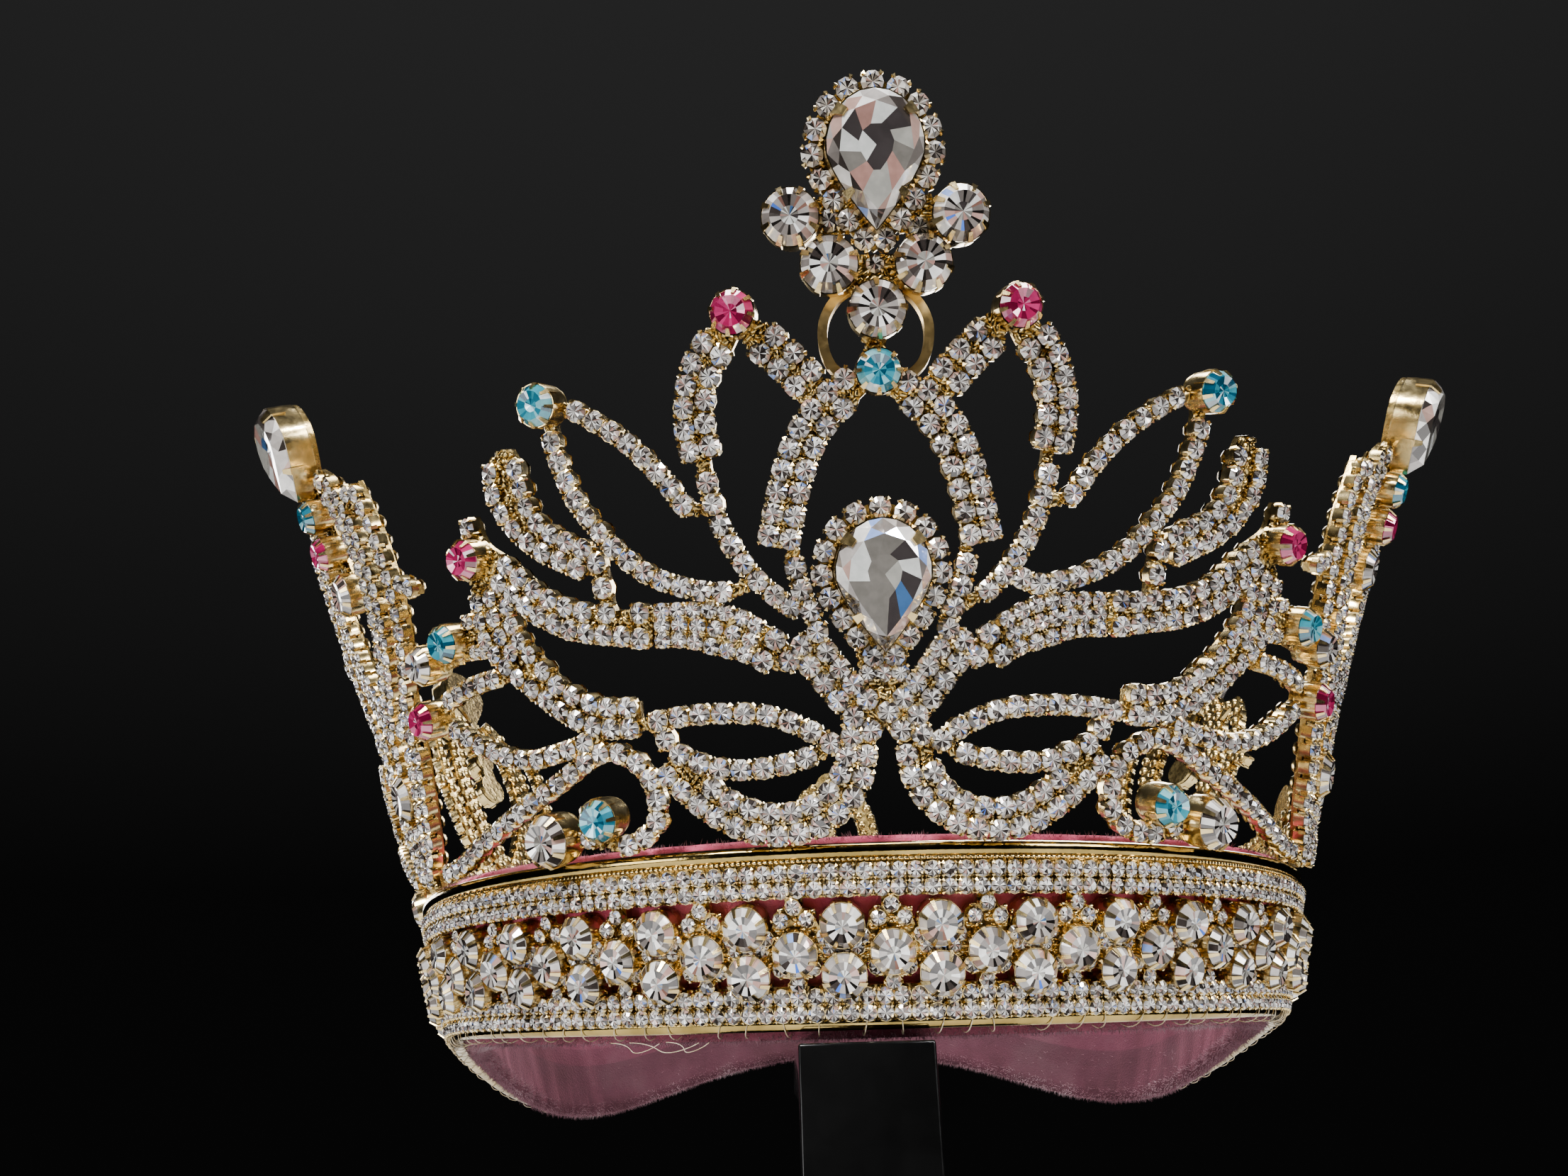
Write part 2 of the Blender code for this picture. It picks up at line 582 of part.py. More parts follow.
def build_lining():
    """Padded velvet wall inside the band, with a rolled hem below."""
    flat_of_band = RING_RADIUS * (1.0 - math.cos(math.pi / LATTICE_UNITS))
    outer = BAND_THICK + GAP + flat_of_band
    inner = outer + LINING_THICK
    top = BAND_HEIGHT + LINING_ABOVE
    profile = (
        # depth in from the band's face, up
        (outer, 0.6), (outer, top - 1.0), (outer + 0.8, top), (inner - 0.8, top),
        (inner, top - 1.0), (inner + 0.4, 14.0), (inner + 0.9, 1.6), (inner, 0.2 - HEM_BELOW),
        (outer + 0.6, -HEM_BELOW),
    )
    bm = bmesh.new()
    rings = []
    for step in range(LINING_STEPS):
        azimuth = 2.0 * math.pi * step / LINING_STEPS
        rings.append([bm.verts.new(band_point(azimuth, up, -depth)) for depth, up in profile])
    for index, ring in enumerate(rings):
        after = rings[(index + 1) % LINING_STEPS]
        for spot in range(len(profile)):
            beyond = (spot + 1) % len(profile)
            bm.faces.new((ring[spot], after[spot], after[beyond], ring[beyond]))
    return finish_object("velvet_lining", bm, "velvet", 50)


def build_stand():
    """Foot, post and rail in one piece: the rail carries the crown front and back."""
    left, right = STAND_LEFT - STAND_WIDTH / 2, STAND_LEFT + STAND_WIDTH / 2
    lowest_behind = dip(math.pi - math.atan2(-left, BOTTOM_RADIUS))
    top_front = RING_HEIGHT - HEM_BELOW - GAP
    top_back = RING_HEIGHT - lowest_behind - HEM_BELOW - 2 * GAP
    outline = (
        # y, z
        (-FOOT_LENGTH / 2, 0.0), (FOOT_LENGTH / 2, 0.0), (FOOT_LENGTH / 2, FOOT_THICK),
        (-POST_FRONT + POST_DEPTH, FOOT_THICK),
        (-POST_FRONT + POST_DEPTH, top_front - RAIL_THICK),
        (RAIL_BACK, top_back - RAIL_THICK), (RAIL_BACK, top_back), (-POST_FRONT, top_front),
        (-POST_FRONT, FOOT_THICK), (-FOOT_LENGTH / 2, FOOT_THICK),
    )
    bm = bmesh.new()
    near = [bm.verts.new(Vector((left, y, z)) * MM) for y, z in outline]
    far = [bm.verts.new(Vector((right, y, z)) * MM) for y, z in outline]
    bm.faces.new(near)
    bm.faces.new(far)
    for index in range(len(outline)):
        after = (index + 1) % len(outline)
        bm.faces.new((near[index], near[after], far[after], far[index]))
    bmesh.ops.recalc_face_normals(bm, faces=bm.faces)
    widen_foot(bm, left, right)
    return finish_object("display_stand", bm, "black")


def widen_foot(bm, left, right):
    """Draw the foot's two long sides out to its full width."""
    for side, edge in ((-1, left), (1, right)):
        bmesh.ops.bisect_plane(
            bm, geom=bm.verts[:] + bm.edges[:] + bm.faces[:],
            plane_co=(0.0, 0.0, FOOT_THICK * MM), plane_no=(0.0, 0.0, 1.0),
        )
        chosen = [
            face for face in bm.faces
            if abs(face.normal.x) > 0.9 and abs(face.calc_center_median().x - edge * MM) < 1e-5
            and max(vert.co.z for vert in face.verts) < (FOOT_THICK + 0.01) * MM
        ]
        raised = bmesh.ops.extrude_face_region(bm, geom=chosen)
        for part in raised["geom"]:
            if isinstance(part, bmesh.types.BMVert):
                part.co.x = side * FOOT_WIDTH / 2 * MM
        bmesh.ops.delete(bm, geom=chosen, context="FACES")


def build_crown():
    build_band()
    build_lining()
    panel("front_panel", 0, FRONT_STRIPS, FRONT_STONES, ())
    set_stones("front_", 0, FRONT_STONES)
    for side, facing in (("right", 1), ("left", -1)):
        for place, degrees in (("side", 60), ("rear", 120)):
            panel(place + "_peak_" + side, facing * degrees, PEAK_STRIPS, PEAK_STONES, PEAK_CUPS)
            set_stones(place + "_" + side + "_", facing * degrees, PEAK_STONES)
        for place, degrees in (("side", 90), ("rear", 150)):
            panel(place + "_link_" + side, facing * degrees, LINK_STRIPS, (), LINK_CUPS)
    panel("back_arch", 180, BACK_STRIPS, (), BACK_CUPS)


clear_scene()
build_crown()
build_stand()
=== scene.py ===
import math

import bmesh
import bpy
import numpy as np
from mathutils import Matrix, Vector
from mathutils.geometry import delaunay_2d_cdt


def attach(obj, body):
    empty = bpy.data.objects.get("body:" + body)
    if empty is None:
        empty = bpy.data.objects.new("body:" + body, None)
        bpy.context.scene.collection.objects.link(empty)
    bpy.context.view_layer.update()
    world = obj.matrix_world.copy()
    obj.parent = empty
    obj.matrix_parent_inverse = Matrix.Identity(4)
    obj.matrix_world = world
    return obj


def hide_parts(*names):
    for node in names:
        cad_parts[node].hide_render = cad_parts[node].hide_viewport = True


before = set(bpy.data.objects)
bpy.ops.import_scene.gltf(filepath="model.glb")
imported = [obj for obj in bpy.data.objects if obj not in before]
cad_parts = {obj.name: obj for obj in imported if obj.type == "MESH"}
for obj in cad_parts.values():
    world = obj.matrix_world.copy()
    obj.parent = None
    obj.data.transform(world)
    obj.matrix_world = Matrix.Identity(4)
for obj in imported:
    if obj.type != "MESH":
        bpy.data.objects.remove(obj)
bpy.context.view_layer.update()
body = "root"
mm = 0.001
dice = np.random.default_rng(41)
fullTurn = 2.0 * math.pi

crown = {
    "ringHeight": 100.0, "bandHeight": 24.0, "ringRadius": 85.0, "bottomRadius": 78.0,
    "flareSlope": 0.30, "flareCurve": 0.0012,
    "leftDraw": 3.4, "leftFrom": 20.0, "leftOver": 45.0, "leftLow": 27.0, "leftRise": 14.0,
    "earDip": 17.0, "earAzimuth": 125.0, "earSpread": 32.0, "backDip": 5.5, "backStart": 120.0,
}


# Places on the crown's two walls.

def dipAt(azimuth):
    degrees = np.abs(np.degrees(np.arctan2(np.sin(azimuth), np.cos(azimuth))))
    beside = crown["earDip"] * np.exp(-((degrees - crown["earAzimuth"]) / crown["earSpread"]) ** 2)
    share = np.clip((degrees - crown["backStart"]) / (180.0 - crown["backStart"]), 0.0, 1.0)
    return beside + crown["backDip"] * share * share * (3.0 - 2.0 * share)


def spotAxes(azimuth, up, radius, slope):
    # place on a wall, and its directions round, up and out
    sine, cosine = np.sin(azimuth), np.cos(azimuth)
    none = np.zeros_like(sine)
    steep = np.hypot(1.0, slope)
    place = np.stack([radius * sine, -radius * cosine, crown["ringHeight"] + up - dipAt(azimuth)], -1)
    out = np.stack([sine / steep, -cosine / steep, -slope / steep + none], -1)
    aside = np.stack([cosine, sine, none], -1)
    return place, aside, np.cross(out, aside), out


def flareAt(up):
    # radius and slope of the flared wall
    rise = np.asarray(up, float) - crown["bandHeight"]
    radius = crown["ringRadius"] + crown["flareSlope"] * rise + crown["flareCurve"] * rise * rise
    return radius, crown["flareSlope"] + 2.0 * crown["flareCurve"] * rise


def onWall(azimuth, up):
    azimuth, up = np.broadcast_arrays(np.asarray(azimuth, float), np.asarray(up, float))
    return spotAxes(azimuth, up, *flareAt(up))


def onBand(azimuth, up):
    azimuth, up = np.broadcast_arrays(np.asarray(azimuth, float), np.asarray(up, float))
    lean = (crown["ringRadius"] - crown["bottomRadius"]) / crown["bandHeight"]
    return spotAxes(azimuth, up, crown["bottomRadius"] + lean * up, np.full(up.shape, lean))


def wallScale(up):
    # true length on the wall for one unit round and one unit up
    radius, slope = flareAt(up)
    return radius / crown["ringRadius"], np.hypot(1.0, slope)


def drawnIn(across, up, amount):
    # hand bending draws the front's left wing in toward the centre line
    reach = np.clip((-across - crown["leftFrom"]) / crown["leftOver"], 0.0, 1.0)
    rise = np.clip((up - crown["leftLow"]) / crown["leftRise"], 0.0, 1.0)
    return across + amount * rise * reach * reach * (3.0 - 2.0 * reach)


# Meshes.

def newMesh(name, points, triangles, smoothAngle=None):
    points = np.asarray(points, float).reshape(-1, 3)
    triangles = np.asarray(triangles, int).reshape(-1, 3)
    mesh = bpy.data.meshes.new(name)
    mesh.vertices.add(len(points))
    mesh.vertices.foreach_set("co", (points * mm).ravel())
    mesh.loops.add(triangles.size)
    mesh.loops.foreach_set("vertex_index", triangles.ravel())
    mesh.polygons.add(len(triangles))
    mesh.polygons.foreach_set("loop_start", np.arange(0, triangles.size, 3))
    mesh.update(calc_edges=True)
    mesh.validate()
    if smoothAngle is None:
        mesh.shade_flat()
    else:
        mesh.shade_smooth()
        mesh.set_sharp_from_angle(angle=math.radians(smoothAngle))
    return mesh


def addPiece(name, mesh, finish, nodes=()):
    piece = bpy.data.objects.new(name, mesh)
    bpy.context.collection.objects.link(piece)
    mesh.materials.append(finish)
    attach(piece, body)
    if nodes:
        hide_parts(*nodes)
    return piece


def addShape(name, shape, finish, nodes=(), smoothAngle=None, colours=None):
    # a piece from (points, triangles), with a tone of painted light and shade for each face where
    # colours are given
    mesh = newMesh(name, *shape, smoothAngle)
    if colours is not None:
        paintFaces(mesh, colours)
    return addPiece(name, mesh, finish, nodes)


def paintFaces(mesh, colours):
    # each face's painted light and shade, later multiplied into its finish's base colour
    layer = mesh.attributes.new("paintedLightTone", "FLOAT_COLOR", "FACE")
    rgba = np.ones((len(colours), 4))
    rgba[:, :3] = colours
    layer.data.foreach_set("color", rgba.ravel())


def joinShapes(shapes):
    # several (points, triangles) in one
    points, triangles, count = [], [], 0
    for somePoints, someTriangles in shapes:
        points.append(np.asarray(somePoints, float).reshape(-1, 3))
        triangles.append(np.asarray(someTriangles, int).reshape(-1, 3) + count)
        count += len(points[-1])
    return np.concatenate(points), np.concatenate(triangles)


def stamp(shape, spots):
    # the same shape at every spot
    points, triangles = shape
    scaled = points[None] * spots["size"][:, None, None]
    placed = (spots["place"][:, None] + scaled[..., 0:1] * spots["along"][:, None]
              + scaled[..., 1:2] * spots["side"][:, None] + scaled[..., 2:3] * spots["out"][:, None])
    shift = np.arange(len(placed))[:, None, None] * len(points)
    return placed.reshape(-1, 3), (triangles[None] + shift).reshape(-1, 3)


def spotsOn(wall, azimuth, up, depth, size, turn=0.0):
    # where stones sit on a wall; turn is measured from the direction round it
    place, aside, above, out = wall(azimuth, up)
    turn = np.broadcast_to(np.asarray(turn, float), place.shape[:1])[:, None]
    depth = np.broadcast_to(np.asarray(depth, float), place.shape[:1])[:, None]
    return {
        "place": place + out * depth,
        "along": aside * np.cos(turn) + above * np.sin(turn),
        "side": above * np.cos(turn) - aside * np.sin(turn),
        "out": out,
        "size": np.broadcast_to(np.asarray(size, float), place.shape[:1]).copy(),
    }


def joinSpots(groups):
    return {key: np.concatenate([group[key] for group in groups]) for key in groups[0]}


def unit(vectors, least=0.0):
    return vectors / (np.linalg.norm(vectors, axis=1)[:, None] + least)


def skin(count, size, rings):
    # triangles between neighbouring loops, each of the same number of points
    triangles = []
    for ring in range(rings):
        after = (ring + 1) % count
        for spot in range(size):
            beyond = (spot + 1) % size
            a, b = ring * size + spot, ring * size + beyond
            c, d = after * size + beyond, after * size + spot
            triangles += [(a, b, c), (a, c, d)]
    return triangles


def tube(path, radius, sides, flat=1.0, turn=0.0):
    # wire along a path, with its two ends closed
    ahead = unit(np.gradient(path, axis=0))
    side = unit(np.cross(ahead, unit(path * (1.0, 1.0, 0.0), 1e-9)), 1e-9)
    lift = np.cross(side, ahead)
    angles = fullTurn * np.arange(sides) / sides + turn
    points = path[:, None] + radius * (side[:, None] * np.cos(angles)[None, :, None]
                                       + flat * lift[:, None] * np.sin(angles)[None, :, None])
    last = (len(path) - 1) * sides
    triangles = skin(len(path), sides, len(path) - 1)
    for spot in range(1, sides - 1):
        triangles += [(0, spot + 1, spot), (last, last + spot, last + spot + 1)]
    return points.reshape(-1, 3), np.array(triangles)


def loft(loops):
    # skin over a ring of loops that close on themselves
    loops = np.asarray(loops, float)
    count, size = loops.shape[:2]
    return loops.reshape(-1, 3), np.array(skin(count, size, count))


# Finishes.

def newFinish(name, colour, **sockets):
    finish = bpy.data.materials.new(name)
    finish.use_nodes = True
    shader = finish.node_tree.nodes["Principled BSDF"]
    shader.inputs["Base Color"].default_value = (*colour, 1.0)
    for socket, value in sockets.items():
        shader.inputs[socket.replace("_", " ")].default_value = value
    finish.diffuse_color = (*colour, 1.0)
    return finish, finish.node_tree.nodes, finish.node_tree.links, shader


def addNode(nodes, kind, **values):
    node = nodes.new(kind)
    for key, value in values.items():
        if key in node.inputs:
            node.inputs[key].default_value = value
        else:
            setattr(node, key, value)
    return node


def addNoise(nodes, links, scale, detail=3.0, roughness=0.5, stretch=None):
    place = nodes.new("ShaderNodeTexCoord")
    noise = addNode(nodes, "ShaderNodeTexNoise", Scale=scale, Detail=detail, Roughness=roughness)
    if stretch:
        mapping = nodes.new("ShaderNodeMapping")
        mapping.inputs["Scale"].default_value = stretch
        links.new(place.outputs["Object"], mapping.inputs["Vector"])
        links.new(mapping.outputs["Vector"], noise.inputs["Vector"])
    else:
        links.new(place.outputs["Object"], noise.inputs["Vector"])
    return noise.outputs["Fac"]


def addRamp(nodes, links, source, stops):
    ramp = nodes.new("ShaderNodeValToRGB")
    bar = ramp.color_ramp
    while len(bar.elements) < len(stops):
        bar.elements.new(0.5)
    for element, (position, colour) in zip(bar.elements, stops):
        element.position = position
        element.color = (*colour, 1.0) if isinstance(colour, tuple) else (colour, colour, colour, 1.0)
    links.new(source, ramp.inputs["Fac"])
    return ramp.outputs["Color"]


def addSpread(nodes, links, source, low, high):
    spread = addNode(nodes, "ShaderNodeMapRange")
    spread.inputs["To Min"].default_value = low
    spread.inputs["To Max"].default_value = high
    links.new(source, spread.inputs["Value"])
    return spread.outputs["Result"]


def addBump(nodes, links, shader, source, strength, distance):
    bump = nodes.new("ShaderNodeBump")
    bump.inputs["Strength"].default_value = strength
    bump.inputs["Distance"].default_value = distance
    links.new(source, bump.inputs["Height"])
    links.new(bump.outputs["Normal"], shader.inputs["Normal"])
    return bump


def goldFinish(name, light, deep, rough, rumple=0.12):
    finish, nodes, links, shader = newFinish(name, light, Metallic=1.0, Roughness=rough)
    cloud = addNoise(nodes, links, 160.0, 4.0)
    links.new(addRamp(nodes, links, cloud, [(0.30, deep), (0.62, light)]), shader.inputs["Base Color"])
    fine = addNoise(nodes, links, 900.0, 2.0)
    links.new(addSpread(nodes, links, fine, rough * 0.6, rough * 1.6), shader.inputs["Roughness"])
    addBump(nodes, links, shader, fine, rumple, 0.0002)
    return finish


def timesPaintedLight(nodes, links, shades):
    # shades multiplied by the painted light and shade stored on each face
    facet = addNode(nodes, "ShaderNodeAttribute", attribute_name="paintedLightTone")
    blend = nodes.new("ShaderNodeMix")
    blend.data_type = "RGBA"
    blend.blend_type = "MULTIPLY"
    blend.inputs["Factor"].default_value = 1.0
    links.new(facet.outputs["Color"], blend.inputs["A"])
    links.new(shades, blend.inputs["B"])
    return blend.outputs["Result"]


def stoneFinish(name, colour):
    finish, nodes, links, shader = newFinish(
        name, colour, Metallic=0.25, Roughness=0.06, Coat_Weight=1.0, Coat_Roughness=0.015,
        Coat_IOR=1.7)
    speck = addRamp(nodes, links, addNoise(nodes, links, 700.0, 2.0), [(0.35, 0.82), (0.65, 1.0)])
    # base colour: the painted reflections and highlights stored on each facet, times a fine speckle
    links.new(timesPaintedLight(nodes, links, speck), shader.inputs["Base Color"])
    return finish


def velvetFinish(name, shade, light, pale, paintedShadeAndLight=False):
    finish, nodes, links, shader = newFinish(
        name, light, Roughness=0.9, Sheen_Weight=0.7, Sheen_Roughness=0.35)
    shader.inputs["Sheen Tint"].default_value = (*pale, 1.0)
    nap = addNoise(nodes, links, 45.0, 5.0, 0.65)
    shades = addRamp(nodes, links, nap, [(0.36, shade), (0.52, light), (0.68, pale)])
    # on the wall, the painted shade and light stored on its faces darkens and brightens the pile colours
    if paintedShadeAndLight:
        shades = timesPaintedLight(nodes, links, shades)
    links.new(shades, shader.inputs["Base Color"])
    pile = addNoise(nodes, links, 2600.0, 3.0, 0.7)
    addBump(nodes, links, shader, pile, 0.55, 0.0006)
    return finish


golds = {
    "chainGold": {"light": (0.82, 0.64, 0.31), "deep": (0.48, 0.34, 0.13), "rough": 0.18},
    "solderGold": {"light": (0.56, 0.41, 0.16), "deep": (0.20, 0.125, 0.035), "rough": 0.24,
                   "rumple": 0.5},
    "rimGold": {"light": (0.42, 0.30, 0.10), "deep": (0.19, 0.13, 0.035), "rough": 0.10},
    "ringGold": {"light": (0.66, 0.46, 0.19), "deep": (0.38, 0.25, 0.085), "rough": 0.31},
}
glassTints = {"clear": (0.86, 0.88, 0.90), "blue": (0.16, 0.55, 0.68), "pink": (0.80, 0.20, 0.38)}
velvets = {
    "pinkVelvet": {"shade": (0.22, 0.020, 0.055), "light": (0.36, 0.055, 0.12),
                   "pale": (0.44, 0.13, 0.19), "paintedShadeAndLight": True},
    "velvetFuzz": {"shade": (0.13, 0.045, 0.065), "light": (0.24, 0.125, 0.15),
                   "pale": (0.38, 0.27, 0.29)},
}
gold = {name: goldFinish(name, **look) for name, look in golds.items()}
glass = {colour: stoneFinish(colour + "Glass", tint) for colour, tint in glassTints.items()}
velvet = {name: velvetFinish(name, **look) for name, look in velvets.items()}

# Painted reflections and highlights on the stones' facets: colour and how often it turns up. The blue
# and pink sets mix the glass's own colour with painted reflections and highlights.
paintedFacetLight = {
    "blue": [((0.006, 0.07, 0.12), 0.22), ((0.015, 0.17, 0.25), 0.28), ((0.04, 0.31, 0.40), 0.27),
             ((0.22, 0.55, 0.62), 0.16), ((0.80, 0.94, 1.0), 0.07)],
    "pink": [((0.13, 0.003, 0.025), 0.22), ((0.33, 0.010, 0.075), 0.32), ((0.52, 0.035, 0.15), 0.27),
             ((0.70, 0.18, 0.32), 0.13), ((1.0, 0.80, 0.88), 0.06)],
    "wedge": [((1.0, 0.97, 0.93), 0.29), ((0.46, 0.42, 0.39), 0.26), ((0.20, 0.175, 0.16), 0.20),
              ((0.05, 0.040, 0.036), 0.15), ((0.56, 0.34, 0.29), 0.10)],
    "spoke": [((0.012, 0.010, 0.009), 0.56), ((0.07, 0.06, 0.055), 0.16), ((1.0, 0.99, 0.97), 0.16),
              ((0.26, 0.13, 0.10), 0.09), ((0.08, 0.20, 0.75), 0.03)],
    "table": [((0.40, 0.39, 0.35), 0.28), ((0.78, 0.79, 0.76), 0.2), ((0.20, 0.185, 0.165), 0.22),
              ((0.05, 0.042, 0.042), 0.13), ((0.44, 0.24, 0.20), 0.13), ((0.05, 0.13, 0.30), 0.04)],
    "bezel": [((1.0, 0.97, 0.93), 0.28), ((0.50, 0.46, 0.43), 0.25), ((0.21, 0.185, 0.17), 0.20),
              ((0.045, 0.036, 0.032), 0.15), ((0.58, 0.37, 0.31), 0.09), ((0.28, 0.42, 0.85), 0.03)],
}


def drawTones(kind, count):
    colours = np.array([colour for colour, _ in paintedFacetLight[kind]])
    shares = np.array([share for _, share in paintedFacetLight[kind]])
    drawn = dice.choice(len(colours), size=count, p=shares / shares.sum())
    return colours[drawn] * dice.uniform(0.88, 1.0, (count, 1))


def drawStarTones(roles, stones):
    # painted reflection tones for many small stones whose facets have the same roles
    tones = np.zeros((stones, len(roles), 3))
    for kind in ("wedge", "spoke", "bezel"):
        chosen = np.flatnonzero(roles == kind)
        tones[:, chosen] = drawTones(kind, stones * len(chosen)).reshape(stones, len(chosen), 3)
    return (tones * dice.uniform(0.78, 1.0, (stones, 1, 1))).reshape(-1, 3)


# Small stones and their cups, as shapes of unit radius.

smallStone = {"table": 0.60, "crownHeight": 0.34, "tableDish": 0.13, "spoke": 0.17}
smallCup = {
    "flatReach": 1.045, "cornerReach": 1.15, "baseShrink": 0.84, "low": -1.15, "high": -0.05,
    "clawWide": 0.36, "clawThick": 0.26, "clawFoot": (1.04, -0.60), "clawKnee": (1.06, 0.12),
    "clawTip": (0.84, 0.40),
}


def ringPoints(sides, radius, height, shift=0.0):
    angles = fullTurn * (np.arange(sides) + shift) / sides
    return np.stack([radius * np.cos(angles), radius * np.sin(angles), np.full(sides, height)], -1)


def smallStoneShape(sides):
    # round stone cut so its table is painted with a star of dark reflected spokes between pale
    # highlighted wedges
    top, spoke = smallStone["crownHeight"], smallStone["spoke"]
    before = ringPoints(sides, smallStone["table"], top, -spoke)
    past = ringPoints(sides, smallStone["table"], top, spoke)
    points = np.concatenate([
        ringPoints(sides, 1.0, 0.0), before, past,
        [(0.0, 0.0, top - smallStone["tableDish"])], [(0.0, 0.0, -0.08)],
    ])
    triangles, roles = [], []
    for spot in range(sides):
        beyond = (spot + 1) % sides
        here, there = sides + spot, sides + beyond
        passed, middle, under = 2 * sides + spot, 3 * sides, 3 * sides + 1
        triangles += [(spot, beyond, there), (spot, there, passed), (spot, passed, here),
                      (passed, there, middle), (here, passed, middle), (beyond, spot, under)]
        roles += ["bezel", "bezel", "spoke", "wedge", "spoke", "bezel"]
    return points, np.array(triangles), np.array(roles)


def prongShape(foot, knee, tip, wide, thick):
    # bent claw: (reach, height) of its foot, knee and tip
    points = []
    for (reach, height), share in ((foot, 1.0), (knee, 1.0), (tip, 0.62)):
        for x, y in ((-1, -1), (1, -1), (1, 1), (-1, 1)):
            lift = 0.5 * thick * y * (0.7 if share < 1.0 else 0.0)
            points.append((reach + 0.5 * thick * y * (1.0 if share == 1.0 else 0.5),
                           0.5 * wide * share * x, height + lift))
    triangles = [(0, 2, 1), (0, 3, 2), (8, 9, 10), (8, 10, 11)]
    for level in (0, 4):
        for spot in range(4):
            beyond = (spot + 1) % 4
            a, b = level + spot, level + beyond
            triangles += [(a, b, b + 4), (a, b + 4, a + 4)]
    return np.array(points), np.array(triangles)


def turnedAbout(points, angle):
    turned = points.copy()
    turned[:, 0] = points[:, 0] * math.cos(angle) - points[:, 1] * math.sin(angle)
    turned[:, 1] = points[:, 0] * math.sin(angle) + points[:, 1] * math.cos(angle)
    return turned


def clawShape(angle):
    # small round-nosed claw of a chain cup
    points = []
    half, thick = smallCup["clawWide"] / 2, smallCup["clawThick"] / 2
    for reach, height in (smallCup["clawFoot"], smallCup["clawKnee"]):
        points += [(reach - thick, -half, height), (reach + thick, -half, height),
                   (reach + thick, half, height), (reach - thick, half, height)]
    reach, height = smallCup["clawTip"]
    points.append((reach, 0.0, height))
    triangles = [(0, 2, 1), (0, 3, 2)]
    for spot in range(4):
        beyond = (spot + 1) % 4
        triangles += [(spot, beyond, beyond + 4), (spot, beyond + 4, spot + 4),
                      (spot + 4, beyond + 4, 8)]
    return turnedAbout(np.array(points), angle), np.array(triangles)


def smallCupShape():
    reach = np.where(np.arange(8) % 2 == 0, smallCup["flatReach"], smallCup["cornerReach"])
    low = ringPoints(8, 1.0, smallCup["low"])
    high = ringPoints(8, 1.0, smallCup["high"])
    low[:, :2] *= (reach * smallCup["baseShrink"])[:, None]
    high[:, :2] *= reach[:, None]
    triangles = []
    for spot in range(8):
        beyond = (spot + 1) % 8
        triangles += [(spot, beyond, beyond + 8), (spot, beyond + 8, spot + 8)]
    for spot in range(1, 7):
        triangles += [(0, spot + 1, spot), (8, 8 + spot, 9 + spot)]
    shapes = [(np.concatenate([low, high]), triangles)]
    for corner in range(4):
        shapes.append(clawShape(math.pi / 4 + corner * math.pi / 2))
    return joinShapes(shapes)


# Larger cut stones.

cut = {
    "belly": 0.08, "fullness": 1.42, "table": 0.76, "starReach": 0.88, "starHeight": 0.60,
    "girdle": 0.56, "innerReach": 0.36, "dish": 0.14, "roundTable": 0.70, "roundCore": 0.32,
    "roundSpoke": 0.18,
}


def dropOutline(wide, tall, sides):
    # teardrop with its point down, in even steps of length
    belly = cut["belly"] * tall
    fall, rise = tall / 2 + belly, tall / 2 - belly
    lower = np.linspace(1.0, 0.0, 40)
    upper = np.linspace(0.0, math.pi, 60)[1:-1]
    side = np.stack([wide / 2 * (1.0 - lower ** cut["fullness"]), belly - fall * lower], -1)
    head = np.stack([wide / 2 * np.cos(upper), belly + rise * np.sin(upper)], -1)
    outline = np.concatenate([side, head, side[::-1] * (-1.0, 1.0)])
    length = np.concatenate([[0.0], np.cumsum(np.linalg.norm(np.diff(outline, axis=0), axis=1))])
    even = np.linspace(0.0, length[-1], sides + 1)[:-1]
    return np.stack([np.interp(even, length, outline[:, axis]) for axis in (0, 1)], -1)


def roundOutline(wide, sides):
    angles = fullTurn * np.arange(sides) / sides
    return np.stack([wide / 2 * np.cos(angles), wide / 2 * np.sin(angles)], -1)


def mainOutline(kind, dropSteps=48, roundSteps=32, less=0.0):
    sizes = stoneKinds[kind]
    if kind == "drop":
        return dropOutline(sizes["wide"], sizes["tall"], dropSteps)
    return roundOutline(sizes["wide"] - less, roundSteps)


def flatLevel(flat, height):
    return np.concatenate([flat, np.full((len(flat), 1), height)], 1)


